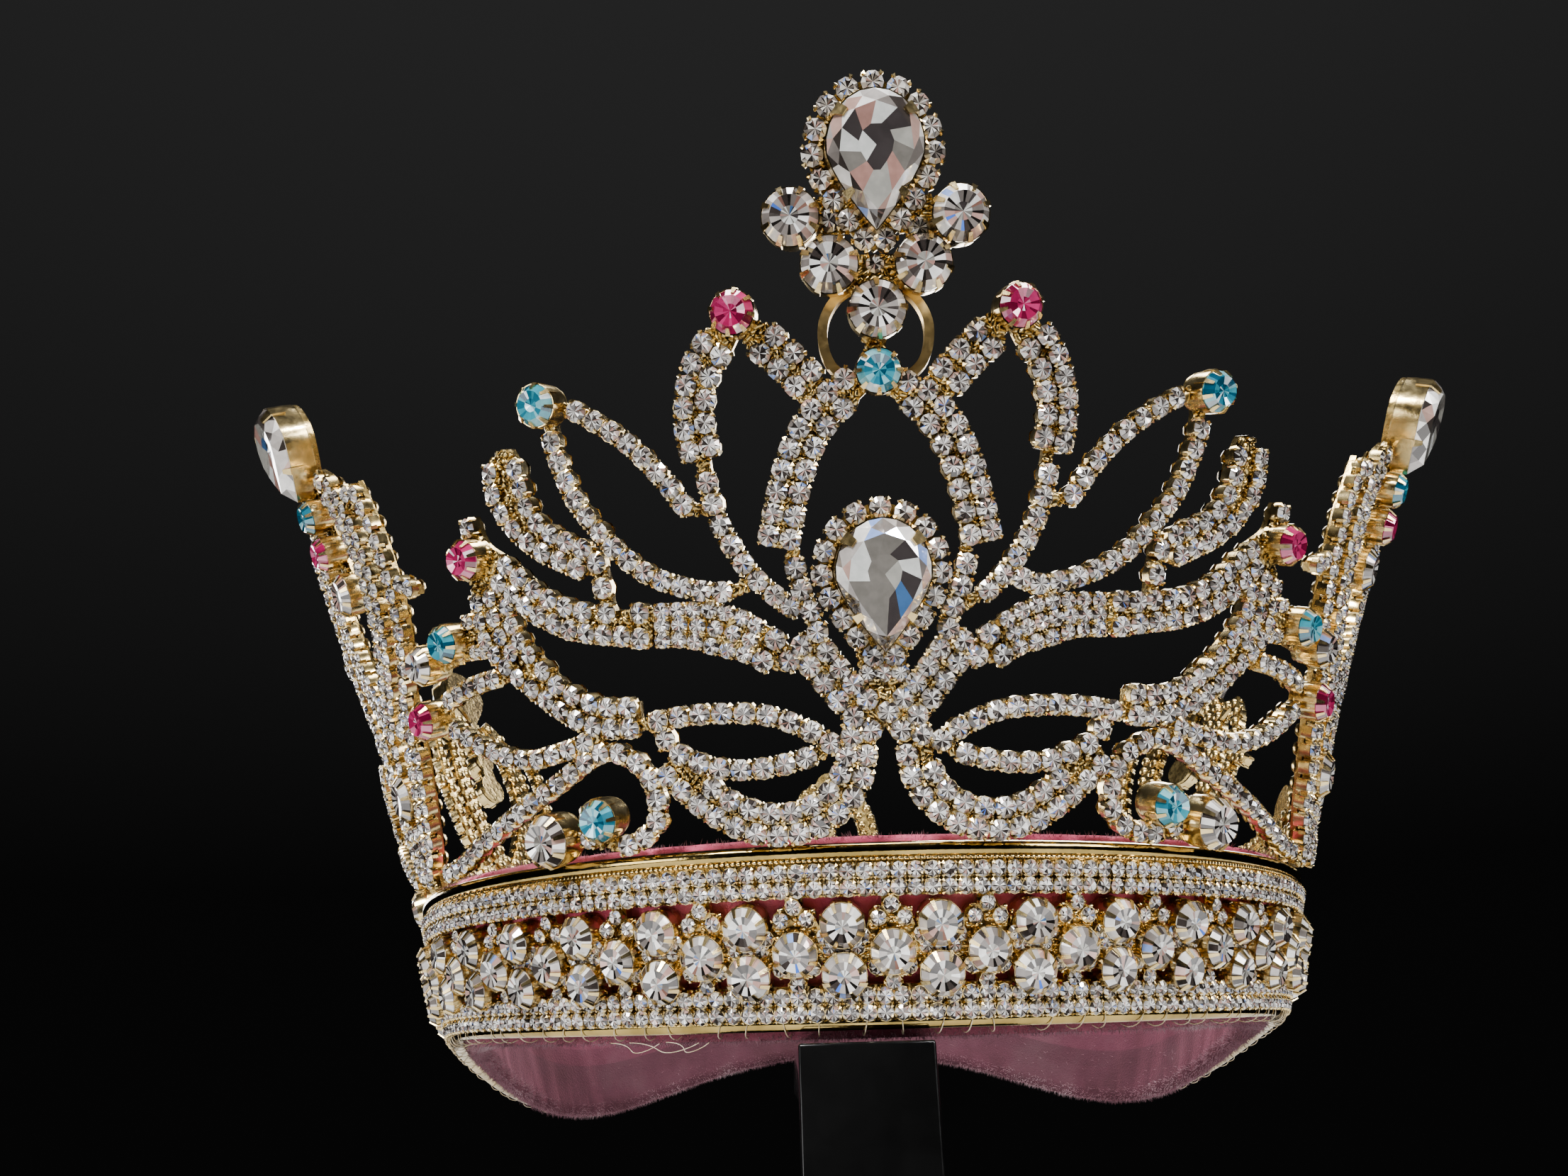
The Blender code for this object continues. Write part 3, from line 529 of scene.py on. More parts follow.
def dropStoneShape(outline, height, culet):
    # girdle, kite and star facets, and a table cut into cells for painted reflections of the facets
    # behind it
    count = len(outline) // 2
    even, odd = outline[0::2], outline[1::2]
    rim = cut["girdle"] * height
    rise = height - rim
    culet = np.array(culet)
    inner = odd * cut["innerReach"] + culet * (1.0 - cut["innerReach"])
    points = np.concatenate([
        flatLevel(even * cut["table"], height),
        flatLevel(inner, height - cut["dish"] * rise),
        flatLevel(odd * cut["starReach"], rim + rise * cut["starHeight"]),
        flatLevel(outline, rim), flatLevel(outline * 0.97, 0.0),
        [(*culet, height - 1.6 * cut["dish"] * rise), (0.0, 0.0, 0.0)],
    ])
    innerAt, starAt, girdleAt, baseAt = count, 2 * count, 3 * count, 5 * count
    culetAt, underAt = 7 * count, 7 * count + 1
    triangles, facets = [], []
    for spot in range(count):
        beyond = (spot + 1) % count
        groups = [
            # bezels take a tone each; the table's outer cells and its four inner kites are numbered
            (16 + 4 * spot, [(spot, starAt + spot, beyond)]),
            (17 + 4 * spot, [(beyond, starAt + spot, girdleAt + 2 * beyond),
                             (beyond, girdleAt + 2 * beyond, starAt + beyond)]),
            (18 + 4 * spot, [(starAt + spot, girdleAt + 2 * spot, girdleAt + 2 * spot + 1)]),
            (19 + 4 * spot, [(starAt + spot, girdleAt + 2 * spot + 1, girdleAt + 2 * beyond)]),
            (4 + spot, [(spot, beyond, innerAt + spot), (beyond, innerAt + beyond, innerAt + spot)]),
            (((spot + 2) % count) // 3, [(innerAt + spot, innerAt + beyond, culetAt)]),
        ]
        for facet, group in groups:
            triangles += group
            facets += [facet] * len(group)
    last = 16 + 4 * count
    for spot in range(2 * count):
        beyond = (spot + 1) % (2 * count)
        triangles += [
            (girdleAt + spot, baseAt + beyond, girdleAt + beyond),
            (girdleAt + spot, baseAt + spot, baseAt + beyond),
            (baseAt + spot, underAt, baseAt + beyond),
        ]
        facets += [last, last, last]
    return points, orient(points, np.array(triangles)), np.array(facets)


def roundStoneShape(wide, height, sides):
    # round stone: a star of spokes and wedges from its middle out to the girdle, for painted dark
    # reflections and pale highlights
    rim = cut["girdle"] * height
    count = 2 * sides
    spokes = np.repeat(np.arange(sides), 2) + np.tile([-1.0, 1.0], sides) * cut["roundSpoke"]
    angles = fullTurn * spokes / sides
    circle = np.stack([np.cos(angles), np.sin(angles)], -1) * wide / 2
    even = turnedAbout(roundOutline(wide, count), -0.5 * math.pi / sides)
    points = np.concatenate([
        flatLevel(circle * cut["roundCore"], height - 0.10 * height),
        flatLevel(circle * cut["roundTable"], height),
        flatLevel(even, rim), flatLevel(even * 0.97, 0.0),
        [(0.0, 0.0, height * 0.87), (0.0, 0.0, 0.0)],
    ])
    triangles, roles, facets = [], [], []
    for spot in range(count):
        beyond = (spot + 1) % count
        table, edge, base = count + spot, 2 * count + spot, 3 * count + spot
        tableOn, edgeOn, baseOn = count + beyond, 2 * count + beyond, 3 * count + beyond
        narrow = spot % 2 == 0
        groups = [
            ("table", [(spot, beyond, 4 * count)]),
            ("spoke" if narrow else "wedge", [(spot, tableOn, beyond), (spot, table, tableOn)]),
            ("wedge" if narrow else "bezel", [(table, edge, edgeOn), (table, edgeOn, tableOn)]),
            ("bezel", [(edge, base, baseOn), (edge, baseOn, edgeOn), (base, 4 * count + 1, baseOn)]),
        ]
        for role, group in groups:
            facet = len(roles)
            roles.append(role)
            triangles += group
            facets += [facet] * len(group)
    return points, orient(points, np.array(triangles)), np.array(facets), np.array(roles)


def orient(points, triangles):
    # every triangle of a star-shaped stone faces away from its middle
    middle = points.mean(0)
    corners = points[triangles]
    normal = np.cross(corners[:, 1] - corners[:, 0], corners[:, 2] - corners[:, 0])
    inward = np.einsum("ij,ij->i", normal, corners.mean(1) - middle) < 0
    triangles = triangles.copy()
    triangles[inward] = triangles[inward][:, ::-1]
    return triangles


def cupShape(outline, low, high, wall, claws, slope):
    # thin open cup round an outline, with claws that lie on the stone's slope
    grown, foot = growOutline(outline, wall), growOutline(outline, wall * 0.2)
    snug = growOutline(outline, 0.05)
    loops = [flatLevel(foot, low), flatLevel(grown, low + 0.35 * (high - low)), flatLevel(grown, high),
             flatLevel(snug, high), flatLevel(snug, low)]
    shapes = [loft(loops)]
    around = np.degrees(np.arctan2(outline[:, 1], outline[:, 0]))
    for degrees, size in claws:
        claw = clawSizes[size]
        spot = int(np.argmin(np.abs((around - degrees + 180.0) % 360.0 - 180.0)))
        tangent = outline[(spot + 1) % len(outline)] - outline[spot - 1]
        points, triangles = prongShape(
            (claw["out"], low + 0.5 * (high - low)), (claw["out"], high + claw["kneeUp"]),
            (-claw["tipIn"], high + claw["kneeUp"] + slope * claw["tipIn"]), claw["wide"], claw["thick"])
        points = turnedAbout(points, math.atan2(-tangent[0], tangent[1]))
        points[:, :2] += outline[spot]
        shapes.append((points, triangles))
    return joinShapes(shapes)


def growOutline(outline, amount):
    tangent = np.roll(outline, -1, 0) - np.roll(outline, 1, 0)
    return outline + amount * unit(np.stack([tangent[:, 1], -tangent[:, 0]], -1))


# The design: strips of chain and main stones, right half, as across, up, width.

chain, pairWidth = 3.1, 6.0


def strip(width, *rows):
    # rows that give no width of their own have the strip's usual one
    return [(*row, width)[:3] for row in rows]


frontStrips = {
    "neck": [(0.0, 99.0, 7.7), (0.0, 93.0, 7.7), (0.0, 88.0, 4.4), (0.0, 84.0, 6.6)],
    "shoulder": [(0.0, 104.0, 5.5), (4.6, 103.6, 6.6), (8.1, 103.3, 5.5)],
    "ogive": strip(pairWidth, (1.5, 83.8, 5.1), (4.4, 81.3), (7.0, 78.3), (9.0, 74.3), (10.3, 70.3),
                   (11.2, 66.7), (12.1, 63.0)),
    "ogiveTail": strip(chain, (10.6, 64.5), (10.0, 59.3), (9.2, 56.0), (8.1, 53.0), (8.0, 50.5)),
    "leafOut": strip(pairWidth, (15.0, 91.6, 4.4), (16.8, 89.6), (18.8, 86.6), (19.9, 83.0),
                     (20.3, 79.4), (19.9, 75.4)),
    "leafTail": strip(chain, (19.9, 76.5), (19.5, 71.0), (18.7, 67.0), (17.3, 63.3), (15.3, 59.7),
                      (12.6, 56.7), (9.6, 54.6)),
    "leafIn": strip(pairWidth, (13.8, 91.6, 4.4), (11.9, 89.2), (9.6, 86.4), (7.4, 83.4), (5.6, 80.6)),
    "bladeUp": strip(chain, (38.6, 86.0), (35.6, 84.8), (32.4, 82.3), (29.5, 79.6), (27.0, 76.6),
                     (24.6, 73.0), (22.4, 69.4), (19.4, 69.0)),
    "bladeLow": strip(chain, (39.2, 85.5), (39.4, 81.7), (38.8, 77.5), (37.6, 73.2), (35.4, 69.0),
                      (32.6, 65.2), (29.6, 62.2), (26.4, 60.2), (22.4, 58.6), (18.6, 58.0),
                      (15.6, 59.0)),
    "feather": strip(pairWidth, (47.5, 82.4, 3.7), (48.2, 79.0, 8.1), (48.0, 75.0, 7.7),
                     (46.4, 71.4, 6.6), (43.6, 68.4), (40.5, 66.4), (37.4, 64.6)),
    "featherStem": strip(chain, (36.4, 65.5), (35.8, 62.5), (35.8, 56.0)),
    "wing": strip(pairWidth, (56.6, 75.0, 3.7), (56.4, 70.0, 5.5), (53.6, 67.0), (51.1, 64.6),
                  (48.1, 61.4), (44.1, 58.6), (39.8, 56.7), (34.4, 55.5), (29.1, 54.7, 6.95),
                  (24.4, 54.2, 7.2), (20.4, 53.2, 8.1), (16.4, 51.4, 7.3), (13.4, 49.4),
                  (10.6, 47.6, chain)),
    "outerWing": strip(pairWidth, (56.2, 67.5, 7.7), (55.8, 63.3, 8.8), (55.8, 58.7, 9.2),
                       (53.8, 54.5, 7.9), (50.8, 51.2, 6.8), (48.0, 48.3), (44.6, 45.8), (41.1, 44.0),
                       (37.3, 43.1), (33.4, 42.9)),
    "sideSpray": [(72.2, 57.0, 4.8), (68.0, 58.0, 6.6), (63.4, 58.8, 7.7), (58.0, 58.4, 8.1)],
    "smallLeafUp": strip(chain, (73.4, 49.8), (70.2, 50.9), (66.0, 51.6), (61.9, 51.9), (54.5, 51.9)),
    "smallLeafLow": strip(chain, (73.4, 48.6), (69.4, 46.2), (66.0, 43.9), (62.4, 41.9), (58.4, 40.4),
                          (53.6, 39.4), (48.6, 39.6), (44.2, 40.2), (38.6, 41.6)),
    "lowLeafUp": strip(chain, (35.0, 41.6), (31.1, 42.0), (25.5, 42.3), (20.1, 42.1), (14.6, 41.3),
                       (9.6, 39.0), (6.0, 36.6)),
    "lowLeafLow": strip(chain, (29.8, 40.8), (28.8, 38.2), (25.4, 36.2), (21.4, 34.8), (15.7, 34.6),
                        (10.0, 35.7), (6.4, 37.2)),
    "fork": strip(pairWidth, (10.6, 51.2, 4.4), (8.6, 49.0), (6.6, 46.2), (4.4, 43.2), (2.2, 40.8),
                  (0.0, 39.2)),
    "loop": strip(pairWidth, (3.4, 40.0), (3.9, 36.6), (4.5, 33.4), (6.1, 30.6), (8.8, 28.4),
                  (12.2, 27.2), (16.0, 27.2), (19.6, 28.2), (23.2, 30.4), (26.6, 33.4), (29.6, 36.6)),
    "curl": strip(chain, (79.8, 25.9), (75.6, 26.1), (71.5, 27.0), (66.0, 29.0), (60.0, 31.2),
                  (54.2, 33.3), (48.4, 35.5), (42.8, 37.9), (39.0, 38.8), (35.6, 37.6), (32.8, 35.0),
                  (31.6, 31.4), (32.4, 28.0), (35.2, 26.2), (39.0, 25.9), (43.4, 27.2), (47.0, 27.4)),
    "heart": [(0.0, 50.0, 9.0), (0.0, 45.0, 7.0), (0.0, 40.0, 5.6)],
    "curlTie": strip(chain, (31.4, 34.0), (27.0, 34.6)),
    "stemTie": strip(chain, (39.8, 26.0), (40.0, 29.4)),
}
ringWire = [(0.0, 95.4), (3.2, 94.4), (5.2, 91.6), (5.6, 88.4), (4.8, 85.4), (2.6, 83.2)]
peakStrips = {
    "neck": [(0.0, 94.0, 4.8), (0.0, 86.0, 4.2), (0.0, 78.0, 6.0)],
    "ogive": strip(pairWidth, (3.0, 95.0, 4.6), (5.6, 91.4), (7.6, 86.0), (8.8, 80.0), (9.0, 74.0),
                   (8.0, 67.4), (5.6, 61.0), (2.8, 56.0), (0.0, 52.4)),
    "leaf": strip(chain, (13.0, 88.4, 4.8), (14.4, 84.0), (15.2, 79.0), (15.3, 73.5), (14.9, 68.0),
                  (13.6, 62.0), (11.2, 56.6), (7.8, 52.0), (4.0, 49.6)),
    "leafIn": strip(chain, (12.4, 88.2, 4.6), (9.4, 85.4)),
    "spray": strip(chain, (14.8, 71.6), (18.2, 70.6), (21.0, 68.6)),
    "leg": strip(pairWidth, (10.6, 56.4, chain), (8.8, 51.0, 5.2), (7.2, 44.0), (5.4, 36.6),
                 (3.2, 30.4), (0.0, 27.4)),
    "stem": strip(chain, (0.0, 52.0), (0.0, 39.0), (0.0, 27.0)),
    "foot": [(0.0, 29.0, 7.7), (0.0, 24.35, 7.7)],
}
linkStrips = {
    "arch": strip(chain, (0.0, 38.6), (8.0, 38.2), (16.0, 36.4), (24.0, 33.4), (31.0, 29.8),
                  (37.0, 26.4)),
    "leaf": strip(chain, (0.0, 46.0), (8.0, 43.4), (15.0, 43.6), (22.0, 45.6), (29.6, 48.6)),
    "post": strip(chain, (0.0, 46.0), (0.0, 41.0), (0.0, 30.0)),
    "scroll": strip(chain, (0.0, 40.5), (8.0, 44.0), (14.0, 40.5), (18.0, 35.0)),
}
backStrips = {
    "hoop": strip(pairWidth, (0.0, 74.0), (5.0, 70.6), (8.4, 64.0), (9.6, 56.0), (9.0, 48.0),
                  (7.0, 40.0), (4.4, 32.6), (0.0, 27.4)),
    "bar": strip(chain, (0.0, 48.0), (5.0, 48.6), (9.0, 50.0)),
    "stem": strip(chain, (0.0, 73.0), (0.0, 60.0), (0.0, 48.0)),
    "foot": [(0.0, 29.0, 8.8), (0.0, 24.35, 8.8)],
}
frontStones = (
    ("finial", 0.0, 109.3, "drop"), ("centre", 0.0, 57.6, "drop"),
    ("shoulder_round", 8.1, 103.3, "large"), ("collar_round", 4.6, 97.4, "large"),
    ("collar_low_round", 0.0, 91.9, "large"), ("junction_blue", 0.0, 84.4, "blue"),
    ("leaf_pink", 14.6, 92.8, "pink"), ("blade_blue", 39.4, 86.2, "blue"),
    ("wing_pink", 56.9, 69.2, "pink"), ("spray_blue", 65.0, 58.8, "blue"),
    ("spray_round", 71.6, 57.2, "clear"), ("small_leaf_pink", 74.6, 49.2, "pink"),
    ("curl_blue", 40.2, 29.8, "blue"), ("low_round", 49.2, 27.9, "large"),
)
peakStones = (
    ("finial", 0.0, 101.2, "drop"), ("blue", 0.0, 89.8, "blue"), ("pink", 0.0, 83.2, "pink"),
)
# Places on the side and rear plates that carry a large round in a cup of its own.
peakCups = ((0.0, 40.0), (0.0, 75.6))
linkCups = ((0.0, 46.6), (0.0, 30.2))
backCups = ((0.0, 74.0), (0.0, 54.0))

eightRound = tuple(22.5 + 45.0 * step for step in range(8))
stoneKinds = {
    "drop": {"wide": 13.0, "tall": 18.0, "height": 4.6, "colour": "clear", "sides": 24,
             "culet": (0.0, 1.4),
             "claws": ((51.0, "square"), (129.0, "square"), (306.0, "hook"), (234.0, "hook"))},
    "large": {"wide": 7.6, "tall": 7.6, "height": 3.4, "colour": "clear", "sides": 12,
              "claws": tuple((angle, "bar") for angle in eightRound)},
}
for colour in glassTints:
    stoneKinds[colour] = {"wide": 6.0, "tall": 6.0, "height": 3.0, "colour": colour, "sides": 9,
                          "claws": tuple((angle, "small") for angle in eightRound)}
clawSizes = {
    "square": {"out": 0.25, "kneeUp": 0.35, "tipIn": 1.25, "wide": 1.80, "thick": 0.40},
    "hook": {"out": 0.30, "kneeUp": 0.30, "tipIn": 0.80, "wide": 1.25, "thick": 0.45},
    "bar": {"out": 0.16, "kneeUp": 0.25, "tipIn": 0.90, "wide": 0.80, "thick": 0.28},
    "small": {"out": 0.14, "kneeUp": 0.22, "tipIn": 0.66, "wide": 0.66, "thick": 0.26},
    "band": {"out": 0.12, "kneeUp": 0.20, "tipIn": 0.90, "wide": 0.60, "thick": 0.24},
}
chainWork = {
    "pitch": 3.05, "rowPitch": 3.0, "closest": 2.62, "fillClosest": 2.58, "stone": 1.54,
    "endGap": 1.45, "search": 0.45, "girdleDepth": 1.70, "plateLow": -0.6, "plateHigh": 0.35,
    "plateTrim": 1.72, "seatMargin": 1.18, "seatReach": 14.0,
    "haloOut": 1.58, "haloPitch": 3.25, "haloStone": 1.56,
    "tripleFrom": 6.9, "tripleSize": 0.52, "tripleClose": 0.94, "leastStone": 1.22,
    "spread": ("feather",),
    "lumpPitch": 0.9, "lumpGap": 1.35, "lumpSize": (0.40, 0.75), "lumpLift": 1.05, "backDepth": 1.55,
}
mainWork = {"seatDepth": 2.1, "cupLow": -1.9, "cupWall": 0.16, "dropSlope": 1.15}


# Laying the chains.

def sidesOf(*acrosses):
    # one half for what lies on the centre line, two for the rest
    return (1,) if all(across == 0.0 for across in acrosses) else (1, -1)


def curveThrough(rows, step):
    # fine points of a smooth curve through the rows
    rows = np.asarray(rows, float)
    ends = np.concatenate([[2 * rows[0] - rows[1]], rows, [2 * rows[-1] - rows[-2]]])
    made = []
    for index in range(len(rows) - 1):
        a, b, c, d = ends[index:index + 4]
        count = max(2, int(np.linalg.norm((c - b)[:2]) / step))
        share = np.linspace(0.0, 1.0, count, endpoint=False)[:, None]
        made.append(0.5 * (2 * b + (c - a) * share + (2 * a - 5 * b + 4 * c - d) * share ** 2
                           + (3 * b - a - 3 * c + d) * share ** 3))
    made.append(rows[-1:])
    return np.concatenate(made)


def headedCurve(rows, side, draw, step=0.25):
    # fine points of a strip's middle line, with its true direction and length at each
    curve = curveThrough(rows, step)
    curve[:, 0] = drawnIn(side * curve[:, 0], curve[:, 1], draw)
    run = np.gradient(curve[:, :2], axis=0) * np.stack(wallScale(curve[:, 1]), -1)
    length = np.linalg.norm(run, axis=1)
    return curve, run / length[:, None], length


def walkCurve(rows, side, draw):
    # across, up, width, direction and true length along a strip
    curve, heading, length = headedCurve(rows, side, draw)
    return curve, heading, np.concatenate([[0.0], np.cumsum((length[1:] + length[:-1]) / 2)])


class Placer:
    # keeps the stones of one panel from landing on each other
    def __init__(self, stones, draw):
        self.draw = draw
        self.taken = np.zeros((0, 2))
        self.made = []
        self.seats = []
        for _, across, up, kind in stones:
            for side in sidesOf(across):
                self.seats.append((drawnIn(side * across, up, draw), up, mainOutline(kind, 60)))

    def clearOfSeats(self, across, up):
        wide, tall = wallScale(up)
        for seatAcross, seatUp, outline in self.seats:
            local = np.array([(across - seatAcross) * wide, (up - seatUp) * tall])
            if np.linalg.norm(local) > chainWork["seatReach"]:
                continue
            if np.min(np.linalg.norm(outline - local, axis=1)) < chainWork["seatMargin"]:
                return False
            if insideOutline(outline, local):
                return False
        return True

    def tryPlace(self, across, up, turn, size, closest):
        wide, tall = wallScale(up)
        if len(self.taken):
            apart = (self.taken - (across, up)) * (wide, tall)
            if np.min(np.hypot(apart[:, 0], apart[:, 1])) < closest:
                return False
        if not self.clearOfSeats(across, up):
            return False
        self.taken = np.concatenate([self.taken, [(across, up)]])
        self.made.append((across, up, turn, size))
        return True


def insideOutline(outline, spot):
    inside = False
    for start, end in zip(outline, np.roll(outline, -1, 0)):
        if (start[1] > spot[1]) != (end[1] > spot[1]):
            cross = start[0] + (spot[1] - start[1]) / (end[1] - start[1]) * (end[0] - start[0])
            inside ^= spot[0] < cross
    return inside


def layHalo(placer, across, up, kind):
    sizes = stoneKinds[kind]
    fine = growOutline(dropOutline(sizes["wide"], sizes["tall"], 240), chainWork["haloOut"])
    fine = np.concatenate([fine, fine[:1]])
    length = np.concatenate([[0.0], np.cumsum(np.linalg.norm(np.diff(fine, axis=0), axis=1))])
    count = int(length[-1] / chainWork["haloPitch"])
    wide, tall = wallScale(up)
    for step in range(count):
        at = length[-1] * (step + 0.5) / count
        x, y = (np.interp(at, length, fine[:, axis]) for axis in (0, 1))
        ahead = [np.interp(at + 0.4, length, fine[:, axis]) for axis in (0, 1)]
        turn = math.atan2(ahead[1] - y, ahead[0] - x)
        placer.made.append((across + x / wide, up + y / tall, turn, chainWork["haloStone"]))
        placer.taken = np.concatenate([placer.taken, [(across + x / wide, up + y / tall)]])


def layStrips(placer, strips):
    walks = []
    for name, rows in strips.items():
        for side in sidesOf(*(row[0] for row in rows)):
            walks.append((name, *walkCurve(rows, side, placer.draw)))
    for name, curve, heading, travelled in walks:
        layRows(placer, curve, heading, travelled, 2 if name in chainWork["spread"] else 3)
    for name, curve, heading, travelled in walks:
        if name in chainWork["spread"]:
            continue
        for station in np.arange(1.2, travelled[-1] - 1.0, chainWork["search"]):
            width = np.interp(station, travelled, curve[:, 2])
            reach = max(width / 2 - chainWork["stone"], 0.0) + 0.2
            for off in np.arange(-reach, reach + 0.01, chainWork["search"]):
                across, up, slant = besideCurve(curve, heading, travelled, station, off)
                placer.tryPlace(across, up, slant, chainWork["stone"], chainWork["fillClosest"])


def besideCurve(curve, heading, travelled, station, off):
    # place and direction of a spot beside the middle line of a strip
    across, up = (np.interp(station, travelled, curve[:, k]) for k in (0, 1))
    aim = np.array([np.interp(station, travelled, heading[:, k]) for k in (0, 1)])
    aim /= np.linalg.norm(aim)
    wide, tall = wallScale(up)
    return across - aim[1] * off / wide, up + aim[0] * off / tall, math.atan2(aim[1], aim[0])


def layRows(placer, curve, heading, travelled, most):
    # each row of a strip is filled by its own length, stretch by stretch of the same number of rows
    widths = curve[:, 2]
    paired = widths > 2 * chainWork["rowPitch"] - 0.2
    rows = np.where(widths >= chainWork["tripleFrom"], most, 1 + paired)
    endGap, halfPitch = chainWork["endGap"], chainWork["pitch"] / 2
    starts = [0, *(np.flatnonzero(np.diff(rows)) + 1), len(rows)]
    for first, last in zip(starts[:-1], starts[1:]):
        low = travelled[first] + (endGap if first == 0 else halfPitch)
        high = travelled[last - 1] - (endGap if last == len(rows) else halfPitch)
        if high < low - 1.2:
            continue
        stations = np.linspace(low, high, 40) if high > low else np.full(2, (low + high) / 2)
        between = max(rows[first] - 1, 1)
        apart = np.interp(stations, travelled, widths - 2 * chainWork["stone"] + 0.1) / between
        if rows[first] == 3:
            size = float(np.clip(apart.mean() * chainWork["tripleSize"],
                                 chainWork["leastStone"], chainWork["stone"]))
        else:
            size = chainWork["stone"]
            apart = np.maximum(apart, chainWork["rowPitch"])
        pitch = chainWork["pitch"] * size / chainWork["stone"]
        closest = chainWork["closest"] * (size / chainWork["stone"])
        if rows[first] == 3:
            closest *= chainWork["tripleClose"]
        for row in range(rows[first]):
            side = row - (rows[first] - 1) / 2
            places = np.array([besideCurve(curve, heading, travelled, station, side * gap)
                               for station, gap in zip(stations, apart)])
            wide, tall = wallScale(places[:, 1].mean())
            steps = np.hypot(np.diff(places[:, 0]) * wide, np.diff(places[:, 1]) * tall)
            along = np.concatenate([[0.0], np.cumsum(steps)])
            slants = np.unwrap(places[:, 2])
            count = int(round(along[-1] / pitch)) + 1
            marks = np.linspace(0.0, along[-1], count) if count > 1 else [along[-1] / 2]
            for mark in marks:
                spot = [np.interp(mark, along, values) for values in (*places[:, :2].T, slants)]
                placer.tryPlace(*spot, size, closest)


def solderSpots(placer, strips, facing):
    # lumps of solder in the places that no stone fills
    made = []
    for rows in strips.values():
        for side in sidesOf(*(row[0] for row in rows)):
            curve, heading, travelled = walkCurve(rows, side, placer.draw)
            for station in np.arange(0.8, travelled[-1] - 0.4, chainWork["lumpPitch"]):
                across, up, width = (np.interp(station, travelled, curve[:, k]) for k in range(3))
                aim = np.array([np.interp(station, travelled, heading[:, k]) for k in (0, 1)])
                wide, tall = wallScale(up)
                reach = width / 2 - 1.0
                for off in np.arange(-reach, reach + 0.01, chainWork["lumpPitch"]):
                    spot = (across - aim[1] * off / wide, up + aim[0] * off / tall)
                    apart = (placer.taken - spot) * (wide, tall)
                    if np.min(np.hypot(apart[:, 0], apart[:, 1])) > chainWork["lumpGap"]:
                        made.append(spot)
    made = np.array(made)
    azimuth = math.radians(facing) + made[:, 0] / crown["ringRadius"]
    size = dice.uniform(*chainWork["lumpSize"], len(made))
    depth = chainWork["lumpLift"] + dice.uniform(-0.5, 0.25, len(made))
    return spotsOn(onWall, azimuth, made[:, 1], depth, size, dice.uniform(0.0, fullTurn, len(made)))


def backShape():
    # underside of a chain cup, seen from behind
    points = np.concatenate([
        ringPoints(7, 0.85, -0.55), ringPoints(7, 0.62, -0.85), [(0.0, 0.0, -0.92)]])
    triangles = []
    for spot in range(7):
        beyond = (spot + 1) % 7
        triangles += [(spot, 7 + beyond, beyond), (spot, 7 + spot, 7 + beyond),
                      (7 + spot, 14, 7 + beyond)]
    return points, np.array(triangles)


def lumpShape():
    # rough bead, wider than it is high
    points = np.concatenate([
        [(0.0, 0.0, -0.9)], ringPoints(6, 0.95, -0.35), ringPoints(6, 0.85, 0.35, 0.5),
        [(0.0, 0.0, 0.75)]])
    points[1:13] *= (1.0 + 0.25 * np.sin(np.arange(12) * 2.4))[:, None]
    triangles = []
    for spot in range(6):
        beyond = (spot + 1) % 6
        triangles += [(0, 1 + beyond, 1 + spot), (1 + spot, 1 + beyond, 7 + spot),
                      (1 + beyond, 7 + beyond, 7 + spot), (7 + spot, 7 + beyond, 13)]
    return points, np.array(triangles)


def chainSpots(placer, facing):
    made = np.array(placer.made)
    azimuth = math.radians(facing) + made[:, 0] / crown["ringRadius"]
    depth = chainWork["girdleDepth"] + (made[:, 3] - chainWork["stone"]) * 1.2
    depth = depth + dice.uniform(-0.06, 0.06, len(made))
    spots = spotsOn(onWall, azimuth, made[:, 1], depth, made[:, 3], made[:, 2])
    return wobble(spots, 0.05)


def wobble(spots, amount):
    # hand set: each stone leans a little its own way
    lean = dice.normal(0.0, amount, (len(spots["out"]), 2))
    out = unit(spots["out"] + spots["along"] * lean[:, :1] + spots["side"] * lean[:, 1:])
    along = unit(spots["along"] - out * np.sum(spots["along"] * out, 1)[:, None])
    return {**spots, "out": out, "along": along, "side": np.cross(out, along)}


# The soldered plate under the chains.

def signedArea(outline):
    outline = np.asarray(outline)
    after = np.roll(outline, -1, 0)
    return float(np.sum(outline[:, 0] * after[:, 1] - after[:, 0] * outline[:, 1])) / 2


def stripOutline(rows, side, trim, draw):
    curve, run, _ = headedCurve(rows, side, draw, 1.2)
    wide, tall = wallScale(curve[:, 1])
    half = np.maximum(curve[:, 2] - trim, 0.8) / 2
    off = np.stack([-run[:, 1] * half / wide, run[:, 0] * half / tall], -1)
    return np.concatenate([curve[:, :2] + off, (curve[:, :2] - off)[::-1]])


def coverOutlines(solids, holes, merge=0.03):
    corners, faces = [], []
    for outline in (*solids, *holes):
        order = list(range(len(corners), len(corners) + len(outline)))
        faces.append(order if signedArea(outline) > 0 else order[::-1])
        corners.extend(Vector((float(x), float(y))) for x, y in outline)
    points, _, triangles, _, _, sources = delaunay_2d_cdt(corners, [], faces, 1, merge)
    kept = [triangle for triangle, source in zip(triangles, sources)
            if source and max(source) < len(solids)]
    return np.array([(point.x, point.y) for point in points]), np.array(kept)


def plateShape(flat, triangles, wall, facing, low, high):
    # closed plate over flat triangles, bent onto a wall
    azimuth = math.radians(facing) + flat[:, 0] / crown["ringRadius"]
    place, _, _, out = wall(azimuth, flat[:, 1])
    count = len(flat)
    edges = {}
    for triangle in triangles:
        for start, end in zip(triangle, np.roll(triangle, -1)):
            edges[(int(start), int(end))] = True
    sides = []
    for start, end in edges:
        if (end, start) not in edges:
            sides += [(start, end + count, end), (start, start + count, end + count)]
    sides = np.array(sides)[:, ::-1]
    points = np.concatenate([place + out * low, place + out * high])
    return points, np.concatenate([triangles[:, ::-1], triangles + count, sides])


